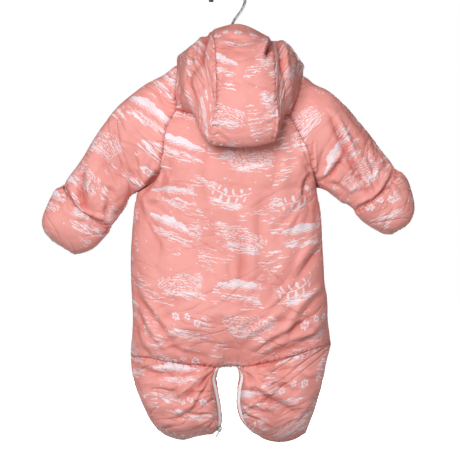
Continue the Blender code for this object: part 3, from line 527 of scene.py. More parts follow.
CREASES += [
    # x, z, x, z, x, z, reach, depth
    (-203, -262, -205, -290, -200, -322, 9, 9.0), (-166, -295, -168, -315, -171, -334, 7, 4.0),
    (-124, -156, -107, -178, -96, -206, 10, 2.5), (-135, -167, -122, -184, -112, -209, 9, 1.8),
    (-124, -302, -108, -284, -93, -262, 7, 6.5), (-92, -262, -88, -284, -92, -308, 7, 5.0),
    (-185, -209, -174, -237, -168, -265, 10, 2.0), (-122, -310, -104, -312, -84, -306, 5, 2.5),
    (-152, -307, -166, -293, -185, -287, 7, 2.5), (142, -190, 168, -248, 194, -300, 8, 9.0),
    (136, -281, 147, -266, 163, -246, 6, 6.0), (172, -236, 186, -262, 203, -292, 6, 3.0),
    (133, -283, 151, -287, 170, -301, 6, 2.5), (201, -223, 218, -248, 226, -268, 8, 2.0),
    (118, -272, 108, -284, 104, -306, 6, 4.0), (126, -287, 112, -298, 96, -300, 5, 2.5),
    (-233, -284, -209, -323, -163, -345, 5, 6.0), (235, -262, 211, -301, 173, -322, 5, 6.0),
    (158, -195, 173, -217, 187, -237, 9, 2.0), (163, -304, 182, -296, 201, -293, 6, 2.0),
]
FRONT_CREASES += [
    (-196, -250, -200, -284, -196, -318, 9, 4.5), (-128, -170, -112, -196, -104, -224, 10, 2.5),
    (-130, -292, -146, -284, -166, -280, 7, 3.0), (148, -182, 158, -212, 172, -238, 9, 4.5),
    (126, -276, 146, -268, 166, -252, 8, 3.5), (178, -244, 192, -270, 208, -296, 8, 3.5),
]

# ---- Hood -------------------------------------------------------------------------------------
# Three panels: one over the head and down the back, and a side each way, gathered a little into the
# two seams between them. Hung up, the hood drops back in a pouch over the neck seam.

HOOD_COLUMNS, HOOD_ROWS = 8 * FINE, 13 * FINE
HOOD_SEAM = {
    "left": [(-31, -44, -191), (-29, -57, -192), (-26, -66, -206), (-23, -72, -221), (-21, -82, -230),
             (-20, -92, -224), (-18, -98, -202), (-17, -99, -178), (-17, -97, -150), (-18, -88, -118),
             (-20, -67, -90), (-22, -47, -77), (-23, -28, -71), (-24, -12, -72)],
    "right": [(44, -43, -193), (48, -56, -194), (55, -66, -207), (58, -72, -221), (60, -82, -229),
              (62, -91, -222), (65, -97, -202), (66, -98, -180), (67, -96, -154), (66, -86, -124),
              (65, -68, -102), (64, -48, -91), (61, -29, -85), (58, -14, -84)],
}
HOOD_CROWN = [(0.0, 0, 0, 0), (0.2, 0, -1, -3), (0.32, 0, -4, -7), (0.42, 0, -8, -3), (0.6, 0, -9, 0),
              (0.76, 0, -9, 8), (0.88, 0, -4, 14), (1.0, 0, 1, 15)]
HOOD_FACE = {
    "left": [(-24, -12, -72), (-47, 2, -90), (-65, 16, -104), (-68, 32, -116), (-52, 46, -136),
             (-25, 49, -154), (-2.15, 47, -160)],
    "right": [(58, -14, -84), (80, 0, -86), (94, 15, -104), (103, 32, -122), (80, 46, -144),
              (40, 49, -156), (4.15, 47, -160)],
}
# How far each side stands off the patch between its edges, from the neck to the face (rows) and from
# the middle panel to the chin (columns), at a quarter, a half and three quarters of the way.
HOOD_STAND = [
    [(0, -14, 2), (0, 0, 3), (3, 3, 3)],
    [(0, -34, 4), (2, 0, 3), (2, 4, 2)],
    [(4, -16, 10), (3, 0, 3), (0, 2, 0)],
]
COLLAR_ZIP = [(1, 47, -160), (1, 48, -178), (1, 48, -195)]
HOOD_START = (BACK_COLUMNS - HOOD_COLUMNS) // 2
# Each side follows the middle seam's curve up to a share of the way to the chin, fading by these powers
# for x, y and z. It follows the collar's by a power of the way, and crowds its face edge by another.
SEAM_SHARE, SEAM_FADES, COLLAR_RISE, FACE_CROWDING = 0.52, (2.3, 1.9, 2.3), 8, 1.3


def begin_at(line, point):
    """A seam moved to begin at a point, easing back onto its own line."""
    line[:FINE + 1] += (point - line[0]) * np.linspace(1, 0, FINE + 1)[:, None] ** 2
    line[0] = point
    return line


def off_straight(line, share):
    """How far a line stands off the straight one between its ends."""
    return line - (line[0] * (1 - share) + line[-1] * share)


hood_seam = {
    side: begin_at(smooth_through(HOOD_SEAM[side], HOOD_ROWS, even=False), neck_back[start])
    for side, start in (("left", HOOD_START), ("right", HOOD_START + HOOD_COLUMNS))
}
collar_edge = {side: smooth_through(COLLAR_ZIP, HOOD_ROWS) + [way * ZIP_HALF, 0, 0]
               for side, way in SIDES.items()}

across = np.linspace(0, 1, HOOD_COLUMNS + 1)
up = np.linspace(0, 1, HOOD_ROWS + 1)
middle = between(hood_seam["left"], hood_seam["right"], across)
crown = np.stack([softened(column, 30) for column in level(HOOD_CROWN, up).T], axis=1)
middle += crown[:, None] * np.sin(np.pi * across)[None, :, None]
ease_to(middle, neck_back[HOOD_START:HOOD_START + HOOD_COLUMNS + 1], False, 3)
pieces["hood_middle"] = (middle, False)

for side, way in SIDES.items():
    from_middle = neck_back[HOOD_START::-1] if side == "left" else neck_back[HOOD_START + HOOD_COLUMNS:]
    neck = np.vstack([from_middle, shoulder_neck[side][1:], neck_front[side][1:]])
    columns = len(neck) - 1
    around = np.linspace(0, 1, columns + 1)
    face = smooth_through(HOOD_FACE[side], columns, shares=around ** FACE_CROWDING)
    share = up[:, None]
    hood = neck[None] * (1 - share[..., None]) + face[None] * share[..., None]
    fade = np.clip(1 - around / SEAM_SHARE, 0, 1)
    fade = np.stack([fade ** power for power in SEAM_FADES], axis=1)
    hood += off_straight(hood_seam[side], share)[:, None] * fade[None]
    collar = off_straight(collar_edge[side][::-1], share)[:, None]
    hood += collar * (around ** COLLAR_RISE)[None, :, None]
    stand = np.zeros((5, 5, 3))
    stand[1:4, 1:4] = np.array(HOOD_STAND) * [way, 1, 1]
    stand = np.stack([smooth_through(row, columns, even=False) for row in stand])
    stand = [smooth_through(line, HOOD_ROWS, even=False) for line in stand.swapaxes(0, 1)]
    hood += np.stack(stand, axis=1)
    hood[:, 0], hood[0] = hood_seam[side], neck
    pieces["hood_side_" + side] = (hood, side == "left")

CREASES += [
    # x, z, x, z, x, z, reach, depth
    (-29, -74, -34, -92, -39, -121, 5, 11.0), (-45, -86, -50, -104, -52, -126, 5, 4.0),
    (61, -86, 58, -96, 53, -108, 7, 14.0), (-14, -80, 20, -88, 52, -86, 8, 3.5),
    (-28, -74, -40, -92, -46, -116, 6, 5.0), (68, -84, 73, -104, 76, -132, 6, 7.0),
    (-34, -114, -54, -138, -42, -182, 6, 4.5), (74, -122, 80, -146, 78, -176, 7, 3.5),
    (-62, -153, -70, -166, -62, -190, 7, 3.0), (84, -133, 90, -156, 86, -181, 7, 3.0),
    (-54, -122, -58, -136, -56, -152, 6, 2.0), (-12, -97, 4, -93, 24, -95, 5, 2.0),
    (-10, -106, 10, -103, 36, -106, 5, 2.0), (-16, -139, -6, -141, 6, -140, 4, 1.8),
    (-16, -147, -8, -147, 0, -149, 4, 1.6), (46, -136, 56, -137, 66, -135, 4, 1.2),
    (-18, -205, -10, -208, -1, -214, 4.5, 2.4), (48, -205, 57, -203, 64, -200, 5, 2.0),
    (-19, -217, -10, -221, 1, -227, 4.5, 2.6), (-18, -212, -12, -214, -5, -218, 3.5, 1.6),
    (30, -112, 46, -112, 62, -108, 5, 1.5), (-17, -120, -4, -118, 8, -121, 4, 1.2),
]

# ---- Seams and creases ------------------------------------------------------------------------
# Where pieces are sewn the padding is pinched flat and the cloth puckers along the stitches. The rest
# of the cloth has creases where it hangs or bends, and small wrinkles all over.

SEAM_KINDS = {
    # kind: groove depth, pucker height, pucker spacing along the seam
    "raglan": (1.9, 0.80, 13.0), "hood": (2.4, 1.30, 9.5), "neck": (1.3, 0.90, 11.0),
    "side": (0.2, 0.50, 14.0), "seat": (2.0, 0.80, 11.0), "foot": (0.3, 0.70, 10.0),
    "zip": (0.4, 0.45, 9.0), "hem": (0.0, 0.35, 12.0),
}
GROOVE_REACH = 2.4
PUCKER_REACH = 13.0

seams = [("neck", neck_back), ("zip", crotch_edge(False)), ("zip", crotch_edge(True))]
for side in SIDES:
    seams += [
        ("raglan", raglan_back[side]), ("raglan", raglan_front[side]), ("neck", shoulder_neck[side]),
        ("side", side_seam[side]), ("side", leg_side[side]), ("seat", seat_seam(side)),
        ("foot", foot_seam(side, False)), ("foot", foot_seam(side, True)), ("neck", neck_front[side]),
        ("hood", hood_seam[side]), ("zip", front_opening[side]), ("zip", collar_edge[side]),
        ("zip", zip_edge(side, False)), ("zip", zip_edge(side, True)),
        ("hem", pieces["hood_side_" + side][0][-1]),
    ]
seams.append(("hem", middle[-1]))


def stitched_distance(points):
    """Each point's distance from the nearest seam, its place along that seam, and the seam's kind."""
    dense, along, kinds = [], [], []
    for kind, line in seams:
        line = smooth_through(line[::2] if len(line) > 40 else line, 400)
        dense.append(line)
        along.append(run(line))
        kinds += [SEAM_KINDS[kind]] * len(line)
    dense, along, kinds = np.vstack(dense), np.concatenate(along), np.array(kinds)
    tree = kdtree.KDTree(len(dense))
    for index, point in enumerate(dense):
        tree.insert(point, index)
    tree.balance()
    _, nearest, far = zip(*[tree.find(point) for point in points])
    nearest = np.array(nearest)
    return np.array(far), along[nearest], kinds[nearest]


def outward(points, grids):
    """Each point's normal, from the faces round it on every piece that meets there."""
    keys = np.round(points * 100).astype(np.int64)
    _, shared = np.unique(keys, axis=0, return_inverse=True)
    shared = shared.reshape(-1)
    sums = np.zeros((shared.max() + 1, 3))
    for start, shape, turned in grids:
        grid = points[start:start + shape[0] * shape[1]].reshape(*shape, 3)
        total = np.zeros_like(grid)
        corner = np.cross(grid[1:, 1:] - grid[:-1, :-1], grid[1:, :-1] - grid[:-1, 1:])
        for rows in (slice(None, -1), slice(1, None)):
            for columns in (slice(None, -1), slice(1, None)):
                total[rows, columns] += corner
        total = unit(total).reshape(-1, 3) * (-1 if turned else 1)
        np.add.at(sums, shared[start:start + len(total)], total)
    return unit(sums)[shared]


# A crease's trough, its sharp floor and its soft shoulders, in shares of its reach, and how high the
# shoulders rise: the upper one more, because the slack cloth above hangs over the crease.
TROUGH, FLOOR, SHOULDER_AT, SHOULDER_REACH = 0.72, 0.25, 1.5, 0.75
SHOULDER_RISE, UPPER_RISE = 0.28, 0.26


def crease_depth(points, creases):
    """How deep the cloth is pressed by creases seen along Y."""
    flat = points[:, [0, 2]]
    pressed = np.zeros(len(points))
    for *ends, reach, depth in creases:
        line = smooth_through([(x, 0, z) for x, z in zip(ends[::2], ends[1::2])], 28)[:, [0, 2]]
        close = (flat > line.min(axis=0) - 4 * reach) & (flat < line.max(axis=0) + 4 * reach)
        close = np.all(close, axis=1)
        away = flat[close][:, None] - line
        far = np.linalg.norm(away, axis=2)
        closest = far.argmin(axis=1)
        far, beyond = far[np.arange(len(far)), closest], away[np.arange(len(away)), closest]
        run_x, run_z = unit(line[-1] - line[0])
        above = np.sign(beyond[:, 0] * -run_z + beyond[:, 1] * run_x) * np.sign(run_x + 1e-6)
        taper = np.sin(np.pi * np.clip(closest / (len(line) - 1) * 0.94 + 0.03, 0, 1)) ** 0.6
        reach = TROUGH * reach
        trough = 0.5 * bell(far, reach) + 0.5 * np.exp(-far / (FLOOR * reach))
        shoulder = bell(far - SHOULDER_AT * reach, SHOULDER_REACH * reach)
        shoulder *= SHOULDER_RISE + UPPER_RISE * above
        pressed[close] += depth * taper * (trough - shoulder)
    return pressed


def clouds(points, stretch=(1, 1, 1), size=1):
    """Smooth noise at each point, from about -0.5 to 0.5, longer along some axes than others."""
    scaled = (points / (np.array(stretch) * size)).reshape(-1, 3)
    return np.array([noise.noise(Vector(point)) for point in scaled]).reshape(points.shape[:-1])


def gathers(turn):
    """Rounded folds side by side with sharp valleys between them."""
    return 1.7 * np.abs(np.cos(turn)) ** 0.6 - 1


# Small creases fan out from where the cloth is held: x, z, first and last direction in degrees, how
# many, shortest and longest run, reach, and depth.
FANS = [
    (-14, -540, 176, 238, 8, 40, 105, 4.0, 2.4), (-13, -575, 185, 240, 4, 30, 70, 3.5, 1.7),
    (-14, -606, 150, 215, 3, 20, 50, 3.5, 1.6), (20, -543, 300, 362, 8, 40, 105, 4.0, 2.4),
    (15, -580, 320, 385, 4, 30, 70, 3.5, 1.7), (20, -606, 330, 390, 3, 20, 50, 3.5, 1.6),
    (-133, -512, -16, 14, 4, 50, 110, 5.0, 2.2), (139, -496, 164, 196, 4, 50, 110, 5.0, 2.2),
    (-128, -300, 268, 320, 5, 40, 80, 6.0, 2.0), (125, -296, 222, 275, 5, 40, 80, 6.0, 2.0),
    (-118, -292, 60, 150, 7, 25, 60, 4.5, 2.2), (121, -286, 30, 120, 7, 25, 60, 4.5, 2.2),
    (-205, -320, 50, 110, 5, 25, 55, 4.5, 2.0), (205, -298, 70, 135, 5, 25, 55, 4.5, 2.0),
    (-20, -205, 150, 200, 4, 14, 30, 3.0, 1.3), (62, -205, -20, 40, 4, 14, 30, 3.0, 1.3),
    (-18, -110, 150, 205, 5, 14, 34, 3.0, 1.5), (66, -116, -25, 30, 5, 14, 34, 3.0, 1.5),
]
# The chance that a crease below the neck runs round to the front too.
BOTH_SIDES, BELOW_NECK = 0.8, -230
dice = np.random.default_rng(17)
for x, z, first, last, count, least, most, reach, depth in FANS:
    for turn in np.radians(np.linspace(first, last, count) + dice.uniform(-4, 4, count)):
        length = dice.uniform(least, most)
        bow = dice.uniform(-0.10, 0.10) * length
        begin = dice.uniform(2, 9)
        ahead, aside = np.array([[math.cos(turn), math.sin(turn)], [-math.sin(turn), math.cos(turn)]])
        at = [(x, z) + ahead * begin, (x, z) + ahead * (begin + length / 2) + aside * bow,
              (x, z) + ahead * (begin + length)]
        row = (*np.concatenate(at), reach * dice.uniform(0.7, 1.3), depth * dice.uniform(0.5, 1.2))
        CREASES.append(row)
        if dice.uniform() < BOTH_SIDES and z < BELOW_NECK:
            FRONT_CREASES.append(row)

# Where the hood's bag is pushed out by its own slack: a middle point, the push, and its reach.
SWELLS = [
    # x, y, z, push x, push y, push z, reach
    (-27, -80, -212, -9, -2, -2, 24), (66, -80, -205, 7, -2, 0, 26), (-54, -24, -128, -2, -3, 1, 18),
]
rising = np.clip(np.arange(HOOD_ROWS + 1) / (2 * FINE), 0, 1)[:, None]
for name, (grid, turned) in pieces.items():
    if name.startswith("hood"):
        for *at, push_x, push_y, push_z, reach in SWELLS:
            swell = bell(np.linalg.norm(grid - at, axis=2), reach) * rising
            grid = grid + swell[..., None] * [push_x, push_y, push_z]
        pieces[name] = (grid, turned)

points = np.vstack([grid.reshape(-1, 3) for grid, _ in pieces.values()])
spans, start = [], 0
for grid, turned in pieces.values():
    spans.append((start, grid.shape[:2], turned))
    start += grid.shape[0] * grid.shape[1]
normals = outward(points, spans)

# Creases are pressed into the cloth that faces them, and into the hood's upright sides from behind too.
HOOD_BOTTOM, NECK_TOP, HOOD_MIDDLE, HOOD_HALF = -235, -185, 16, 90
seam_far, seam_along, seam_kind = stitched_distance(points)
seam_turn = np.pi * seam_along / seam_kind[:, 2]
height, front_share = points[:, 2], np.abs(normals[:, 1])
on_hood = (height > HOOD_BOTTOM) * (np.abs(points[:, 0] - HOOD_MIDDLE) < HOOD_HALF)
facing_back = np.clip(-normals[:, 1] * 1.7 - 0.15 + 0.6 * on_hood, 0, 1)
facing_front = np.clip(normals[:, 1] * 1.7 - 0.15, 0, 1)
pressed = crease_depth(points, CREASES) * facing_back
pressed += crease_depth(points, FRONT_CREASES) * facing_front

# Slack cloth wrinkles more: the legs, the cuffs and the hood, and the body below the waist.
WAIST, ARMPIT = -380, 105
slack = 0.5 + 0.5 * np.clip((WAIST - height) / 90, 0, 1)
slack = np.maximum(slack, np.clip((np.abs(points[:, 0]) - ARMPIT) / 45, 0, 1) * 0.95)
slack = np.maximum(slack, np.clip((height - NECK_TOP) / 30, 0, 1) * 0.8)
drape = clouds(points, (0.7, 0.8, 1.7), 42) * 3.2
lumps = clouds(points + 400, size=21) * 0.75
fine = clouds(points + 900, (1.2, 1, 0.8), 10) * 0.28
slanted = points + np.stack([0.5 * height, 0 * height, -0.6 * points[:, 0]], axis=1)
ridges = (np.abs(clouds(slanted, (1.6, 1, 0.75), 24)) ** 0.8 - 0.25) * 1.6
relief = slack * (drape + ridges) + (0.5 + 0.5 * slack) * (lumps + fine)
relief *= np.clip(seam_far / 9, 0.15, 1) * (0.35 + 0.65 * np.clip(front_share / 0.6, 0, 1))

wander = clouds(points, size=16)
pucker = seam_kind[:, 1] * (0.65 + 0.9 * wander) * gathers(seam_turn + 2.2 * wander)
pucker *= np.exp(-seam_far / PUCKER_REACH) * np.clip(seam_far / 3, 0.25, 1)
groove = seam_kind[:, 0] * np.exp(-(seam_far / GROOVE_REACH) ** 1.4)
# The padding fills the body out to its side seams and the feet to theirs.
fill = 0.9 * np.clip(1 - front_share / 0.5, 0, 1) * (height < -310) * (np.abs(points[:, 0]) < 150)
shaped = points - normals * (pressed + groove - relief - pucker - fill)[:, None]
shaped_normals = outward(shaped, spans)
# Painted shade, kept on each point for the colour: darker in the creases, in the hollows of the relief,
# along the seams and where the cloth turns away at the sides.
hollow = np.clip(pressed / 6, 0, 2) + np.clip(-relief / 5, 0, 0.3) + 0.35 * bell(seam_far, 1.6)
hollow += 0.45 * np.clip(1 - front_share / 0.30, 0, 1)

# ---- Printed cloth ----------------------------------------------------------------------------
# Coral cotton poplin over thin padding, printed in white with an all-over pattern of leafy boughs,
# brushed clouds, mounds of fine lines and flower heads, among strokes and dots. Painted shade darkens
# its colour in the creases, along the seams and where it turns away at the sides. The lining is plain.

PRINT_ACROSS, PRINT_DOWN, CELL_SHIFT = 92.0, 62.0, 0.38
DOT_SPACING = 19.0
CORAL, INK = (0.79, 0.325, 0.292), (0.84, 0.80, 0.86)
# Tones of painted shade: one for the creases, seams and sides, and a darker one for the deepest folds.
CREASE_SHADE_TONE, DEEP_SHADE_TONE = (0.76, 0.50, 0.47), (0.42, 0.30, 0.28)


class Amount:
    """A number worked out at each place of the cloth. Sums on it are written with the usual signs."""

    def __init__(self, socket):
        self.socket = socket

    def __rsub__(self, other):
        return work("SUBTRACT", other, self)


def work(operation, *values, clamp=False):
    """One step of a sum on amounts and plain numbers."""
    tree = next(value.socket.id_data for value in values if isinstance(value, Amount))
    return Amount(add(tree, "ShaderNodeMath", *values, operation=operation, use_clamp=clamp).outputs[0])


for sign, operation in (("add", "ADD"), ("sub", "SUBTRACT"), ("mul", "MULTIPLY"), ("truediv", "DIVIDE"),
                        ("gt", "GREATER_THAN"), ("lt", "LESS_THAN"), ("abs", "ABSOLUTE")):
    setattr(Amount, f"__{sign}__", lambda *values, step=operation: work(step, *values))


def parts_of(kind, socket):
    """The parts of a place or of a colour."""
    return [Amount(part) for part in add(socket.id_data, kind, socket).outputs]


def vector(operation, *values):
    """One step of a sum on places."""
    return add(values[0].id_data, "ShaderNodeVectorMath", *values, operation=operation).outputs[0]


def noise_on(where, scale, detail=2.0, part="Fac", dimensions="2D"):
    """Noise at a place, as an amount or as a place of its own."""
    made = add(where.id_data, "ShaderNodeTexNoise", {"Vector": where, "Scale": scale, "Detail": detail},
               noise_dimensions=dimensions)
    return Amount(made.outputs[part]) if part == "Fac" else made.outputs[part]


def turned_by(where, angle):
    """A place turned about the flat pattern's own upright axis."""
    return add(where.id_data, "ShaderNodeVectorRotate", {"Vector": where, "Angle": angle},
               rotation_type="Z_AXIS").outputs[0]


def spots_on(where, scale, shift, feature="F1"):
    """Scattered spots: how far the nearest is, where it is, and a colour of its own drawn by chance."""
    given = {"Vector": where, "Scale": scale, "Randomness": shift}
    return add(where.id_data, "ShaderNodeTexVoronoi", given, voronoi_dimensions="2D",
               feature=feature).outputs


def inside(value, edge, soft):
    """One where the value is below the edge, fading over a soft width."""
    return work("DIVIDE", work("SUBTRACT", edge, value), soft, clamp=True)


def hypotenuse(across, up):
    return work("SQRT", across * across + up * up)


def ovals(x, y, *rows):
    """How far out a place lies from the nearest oval, with one at an oval's edge."""
    nearest = None
    for middle_x, middle_y, half_wide, half_high in rows:
        far = hypotenuse((x - middle_x) / half_wide, (y - middle_y) / half_high)
        nearest = far if nearest is None else work("MINIMUM", nearest, far)
    return nearest


def print_mask(tree, where):
    """How much white ink lies at each place of the cloth's own flat pattern, given in metres."""
    flat = vector("MULTIPLY", where, (1000.0, 1000.0, 0.0))
    shake = vector("SUBTRACT", noise_on(flat, 0.16, 3.0, "Color"), (0.5, 0.5, 0.5))
    brushed = vector("ADD", flat, vector("MULTIPLY", shake, (5.0, 5.0, 0.0)))
    repeat = (PRINT_ACROSS, PRINT_DOWN, 1.0)
    in_cells = vector("DIVIDE", brushed, repeat)
    cells = spots_on(in_cells, 1.0, CELL_SHIFT)
    border = Amount(spots_on(in_cells, 1.0, CELL_SHIFT, "DISTANCE_TO_EDGE")["Distance"])
    local = vector("MULTIPLY", vector("SUBTRACT", in_cells, cells["Position"]), repeat)
    kind, lean, flip = parts_of("ShaderNodeSeparateColor", cells["Color"])
    x, y, _ = parts_of("ShaderNodeSeparateXYZ", turned_by(local, (lean - 0.5) * 0.5))
    x = x * ((flip > 0.5) * 2.0 - 1.0)

    # A bough: a bowed stem with leaves by turns above and below it.
    stem = y - (x * x * 0.010 - 3.0)
    stem_ink = inside(abs(stem), 0.9, 0.5) * inside(abs(x), 31.0, 2.0)
    step = x / 5.6
    whole = work("ROUND", step)
    odd = work("PINGPONG", whole, 1.0) * 2.0 - 1.0
    leaf_x, leaf_y = (step - whole) * 5.6, stem * odd - 6.0
    lean_x, lean_y = leaf_x * 0.94 - leaf_y * 0.34, leaf_y * 0.94 + leaf_x * 0.34
    leaf = ovals(lean_x, lean_y, (0.0, 0.0, 2.1, 5.6)) / work("MAXIMUM", 1.1 - abs(whole) * 0.09, 0.2)
    vein = inside(abs(lean_x), 0.3, 0.3)
    leaf_ink = inside(leaf, 1.0, 0.12) * (1.0 - vein) * inside(abs(x), 29.0, 1.0)
    bough = work("MAXIMUM", stem_ink, leaf_ink)

    # A bank of cloud: a low heaped crest, solid along the top and brushed out in strokes below.
    puff = ovals(x, y, (-19.0, 0.0, 14.0, 5.5), (-4.0, 3.5, 13.0, 8.0), (11.0, 1.5, 12.0, 7.0),
                 (25.0, -2.5, 12.0, 4.0))
    hatch = work("SINE", y * 2.4 + x) * 0.5 + 0.5
    cloud = inside(puff, 1.0, 0.06) * (y * 0.16 + 0.72 > hatch)

    # A mound of fine brushed lines, one above the other and broken here and there.
    broken = noise_on(brushed, 0.22)
    lines = work("SINE", broken * 8.0 + (y + x * x * 0.012) * 1.9) > 0.1
    mound = inside(ovals(x, y, (-10.0, -4.0, 24.0, 12.0), (10.0, 0.0, 22.0, 15.0)), 1.0, 0.05)
    mound = mound * lines * (broken > 0.43) * 0.85

    # Small flower heads of rounded petals with an open ring, over long level strokes.
    flowers = None
    for middle_x, middle_y, reach in ((-14.0, 7.0, 6.5), (3.0, 10.0, 5.0), (17.0, 4.0, 6.0)):
        far = hypotenuse(x - middle_x, y - middle_y)
        petals = abs(work("SINE", work("ARCTAN2", y - middle_y, x - middle_x) * 3.0)) * (0.42 * reach)
        ring = inside(far, 0.42 * reach, 0.5) * (1.0 - inside(far, 0.20 * reach, 0.5))
        head = inside(far - petals, 0.58 * reach, 0.6) * (1.0 - ring)
        flowers = head if flowers is None else work("MAXIMUM", flowers, head)

    kind, motif = work("FLOOR", kind * 4.0), None
    for number, drawn in enumerate((bough, cloud, mound, flowers)):
        drawn = drawn * work("COMPARE", kind, float(number), 0.5)
        motif = drawn if motif is None else motif + drawn

    # Short level strokes in a bed under each motif and trailing off beside it, and a few dots.
    streak = noise_on(vector("MULTIPLY", brushed, (0.05, 0.62, 0.0)), 1.0)
    bed = ovals(x, y, (4.0, -16.0, 36.0, 7.0), (34.0, 6.0, 13.0, 12.0))
    streaks = (streak > bed * 0.09 + 0.47) * (bed < 1.0)
    dots = spots_on(flat, 1 / DOT_SPACING, 1.0)
    scarce = parts_of("ShaderNodeSeparateColor", dots["Color"])[0]
    dotted = (Amount(dots["Distance"]) < 0.045) * (scarce > 0.75)
    # Where two motifs meet each is brushed out in a ragged edge.
    motif = work("MAXIMUM", motif, streaks) * inside(streak * 0.55 - 0.22, border, 0.02)

    # Long thin strokes drift through the gaps between them.
    thin = noise_on(vector("MULTIPLY", brushed, (0.036, 0.50, 0.0)), 1.0)
    gathered = noise_on(flat, 0.024, 0.0)
    drifting = inside(gathered, 0.49, 0.05) * inside(border, 0.17, 0.05) * thin > 0.595
    ink = work("MAXIMUM", work("MAXIMUM", motif, dotted), drifting)
    wear = work("MULTIPLY_ADD", noise_on(flat, 1.1), 0.5, 0.62, clamp=True)
    return work("MULTIPLY", ink, wear, clamp=True)


LITTLE_CREASES = [
    # the way they run, how close along and across, depth, width
    (0.45, 7.0, 36.0, 1.7, 0.09), (-0.5, 9.0, 44.0, 1.3, 0.10), (0.0, 18.0, 60.0, 0.9, 0.12),
]


def drawn_on(tree, label):
    """A number that each point of the cloth carries."""
    return Amount(add(tree, "ShaderNodeAttribute", attribute_name=label).outputs["Fac"])


def weave_bump(tree, shader, where, thread, strength):
    """Crossed threads, little creases where the cloth is slack, and puckers along the stitches; returns
    the painted shade for the colour in these and in the cloth's creases, seams and turned-away sides,
    and its deepest part.
    """
    warp, weft, _ = parts_of("ShaderNodeSeparateXYZ", where)
    turns = 2 * math.pi / thread
    height = work("SINE", warp * turns) * work("SINE", weft * turns) * 0.03
    slackness = drawn_on(tree, "slack")
    for angle, along, across, depth, width in LITTLE_CREASES:
        drawn = vector("MULTIPLY", turned_by(where, angle), (along, across, 1.0))
        off_line = abs(noise_on(drawn, 1.0, 1.0) * 2.0 - 1.0)
        broken = noise_on(drawn, 0.6, 0.0, dimensions="3D")
        shown = add(tree, "ShaderNodeMapRange", broken, 0.46, 0.62, 0.0, depth).outputs["Result"]
        creased = work("EXPONENT", off_line * (-1 / width)) * (slackness * Amount(shown))
        height = height - creased
    uneven = noise_on(where, 70.0, 1.0)
    stitch_turn = abs(work("SINE", drawn_on(tree, "seam_at") + uneven * 7.0))
    near_seam = work("EXPONENT", drawn_on(tree, "seam_far") * (-1 / 6.5)) * (uneven * 2.4)
    drawn_up = work("EXPONENT", stitch_turn * -4.0) * near_seam
    add_relief(tree, shader, strength, 0.001, height - drawn_up)
    # Painted shade: the colour darkens in the little creases and the stitch puckers, and by the painted
    # shade kept on each point; past one it darkens further in the deepest folds.
    hollow = drawn_on(tree, "hollow")
    deep_shade = work("SUBTRACT", hollow, 1.0, clamp=True)
    return work("ADD", creased * 0.28, hollow + drawn_up * 0.8, clamp=True), deep_shade


def cloth_finish(name, values, mottle, low, high):
    """A dyed cloth's material, its place on the flat pattern, and its uneven dye."""
    material, tree, shader = new_finish(name, values)
    where = add(tree, "ShaderNodeUVMap", uv_map="flat_pattern").outputs["UV"]
    dye = two_tones(tree, noise_on(where, mottle, 3.0, dimensions="3D"), low, high)
    return material, tree, shader, where, dye


printed, tree, shader, where, dye = cloth_finish(
    "printed_poplin", {"Roughness": 0.55, "Specular IOR Level": 0.5}, 16.0,
    tuple(0.93 * part for part in CORAL), tuple(1.07 * part for part in CORAL))
dye = two_tones(tree, print_mask(tree, where), dye, INK)
shade_amount, deep_shade = weave_bump(tree, shader, where, 0.0005, 1.0)
# Painted shade: the colour is darkened in creases, along seams and at turned-away sides, and darker
# still in the deepest folds.
dye = two_tones(tree, shade_amount, dye, CREASE_SHADE_TONE, "MULTIPLY")
tree.links.new(two_tones(tree, deep_shade, dye, DEEP_SHADE_TONE, "MULTIPLY"), shader.inputs["Base Color"])

lining, tree, shader, where, dye = cloth_finish(
    "lining_jersey", {"Roughness": 0.88, "Sheen Weight": 0.3, "Specular IOR Level": 0.2}, 60.0,
    (0.74, 0.30, 0.265), (0.82, 0.36, 0.32))
tree.links.new(dye, shader.inputs["Base Color"])
weave_bump(tree, shader, where, 0.0009, 0.5)

# ---- Sewing the pieces ------------------------------------------------------------------------
# Each piece gets its padded thickness and its own flat pattern, which the print follows.

MM = 0.001
CLOTH_THICK = 1.7
PATTERN_SHIFT = (0.31, 0.17)  # each piece is cut from another place of the print, so many metres on


def tube_pattern(grid, shift):
    """A tube's flat pattern: the run round it, from the middle of its back, and the run along it."""
    axis = unit(grid[-1].mean(axis=0) - grid[0].mean(axis=0))
    around = run(grid - (grid @ axis)[..., None] * axis, axis=1)
    around -= around[:, around.shape[1] // 4][:, None]
    return np.stack([around, -(grid @ axis)], axis=2) * MM + shift


def flat_pattern(grid, shift):
    """Where each point lay on the flat cloth: its run across and down the piece, in metres."""
    across = run(grid, axis=1)
    across -= across[:, across.shape[1] // 2][:, None]
    way = -1 if grid[-1, :, 2].mean() < grid[0, :, 2].mean() else 1
    return np.stack([across, way * run(grid)], axis=2) * MM + shift


def apply_modifiers(thing):
    """Swap a piece's mesh for what its modifiers make of it."""
    bpy.context.view_layer.update()
    seen = thing.evaluated_get(bpy.context.evaluated_depsgraph_get())
    made = bpy.data.meshes.new_from_object(seen)
    thing.modifiers.clear()
    old, thing.data = thing.data, made
    made.name = old.name + "_made"
    bpy.data.meshes.remove(old)


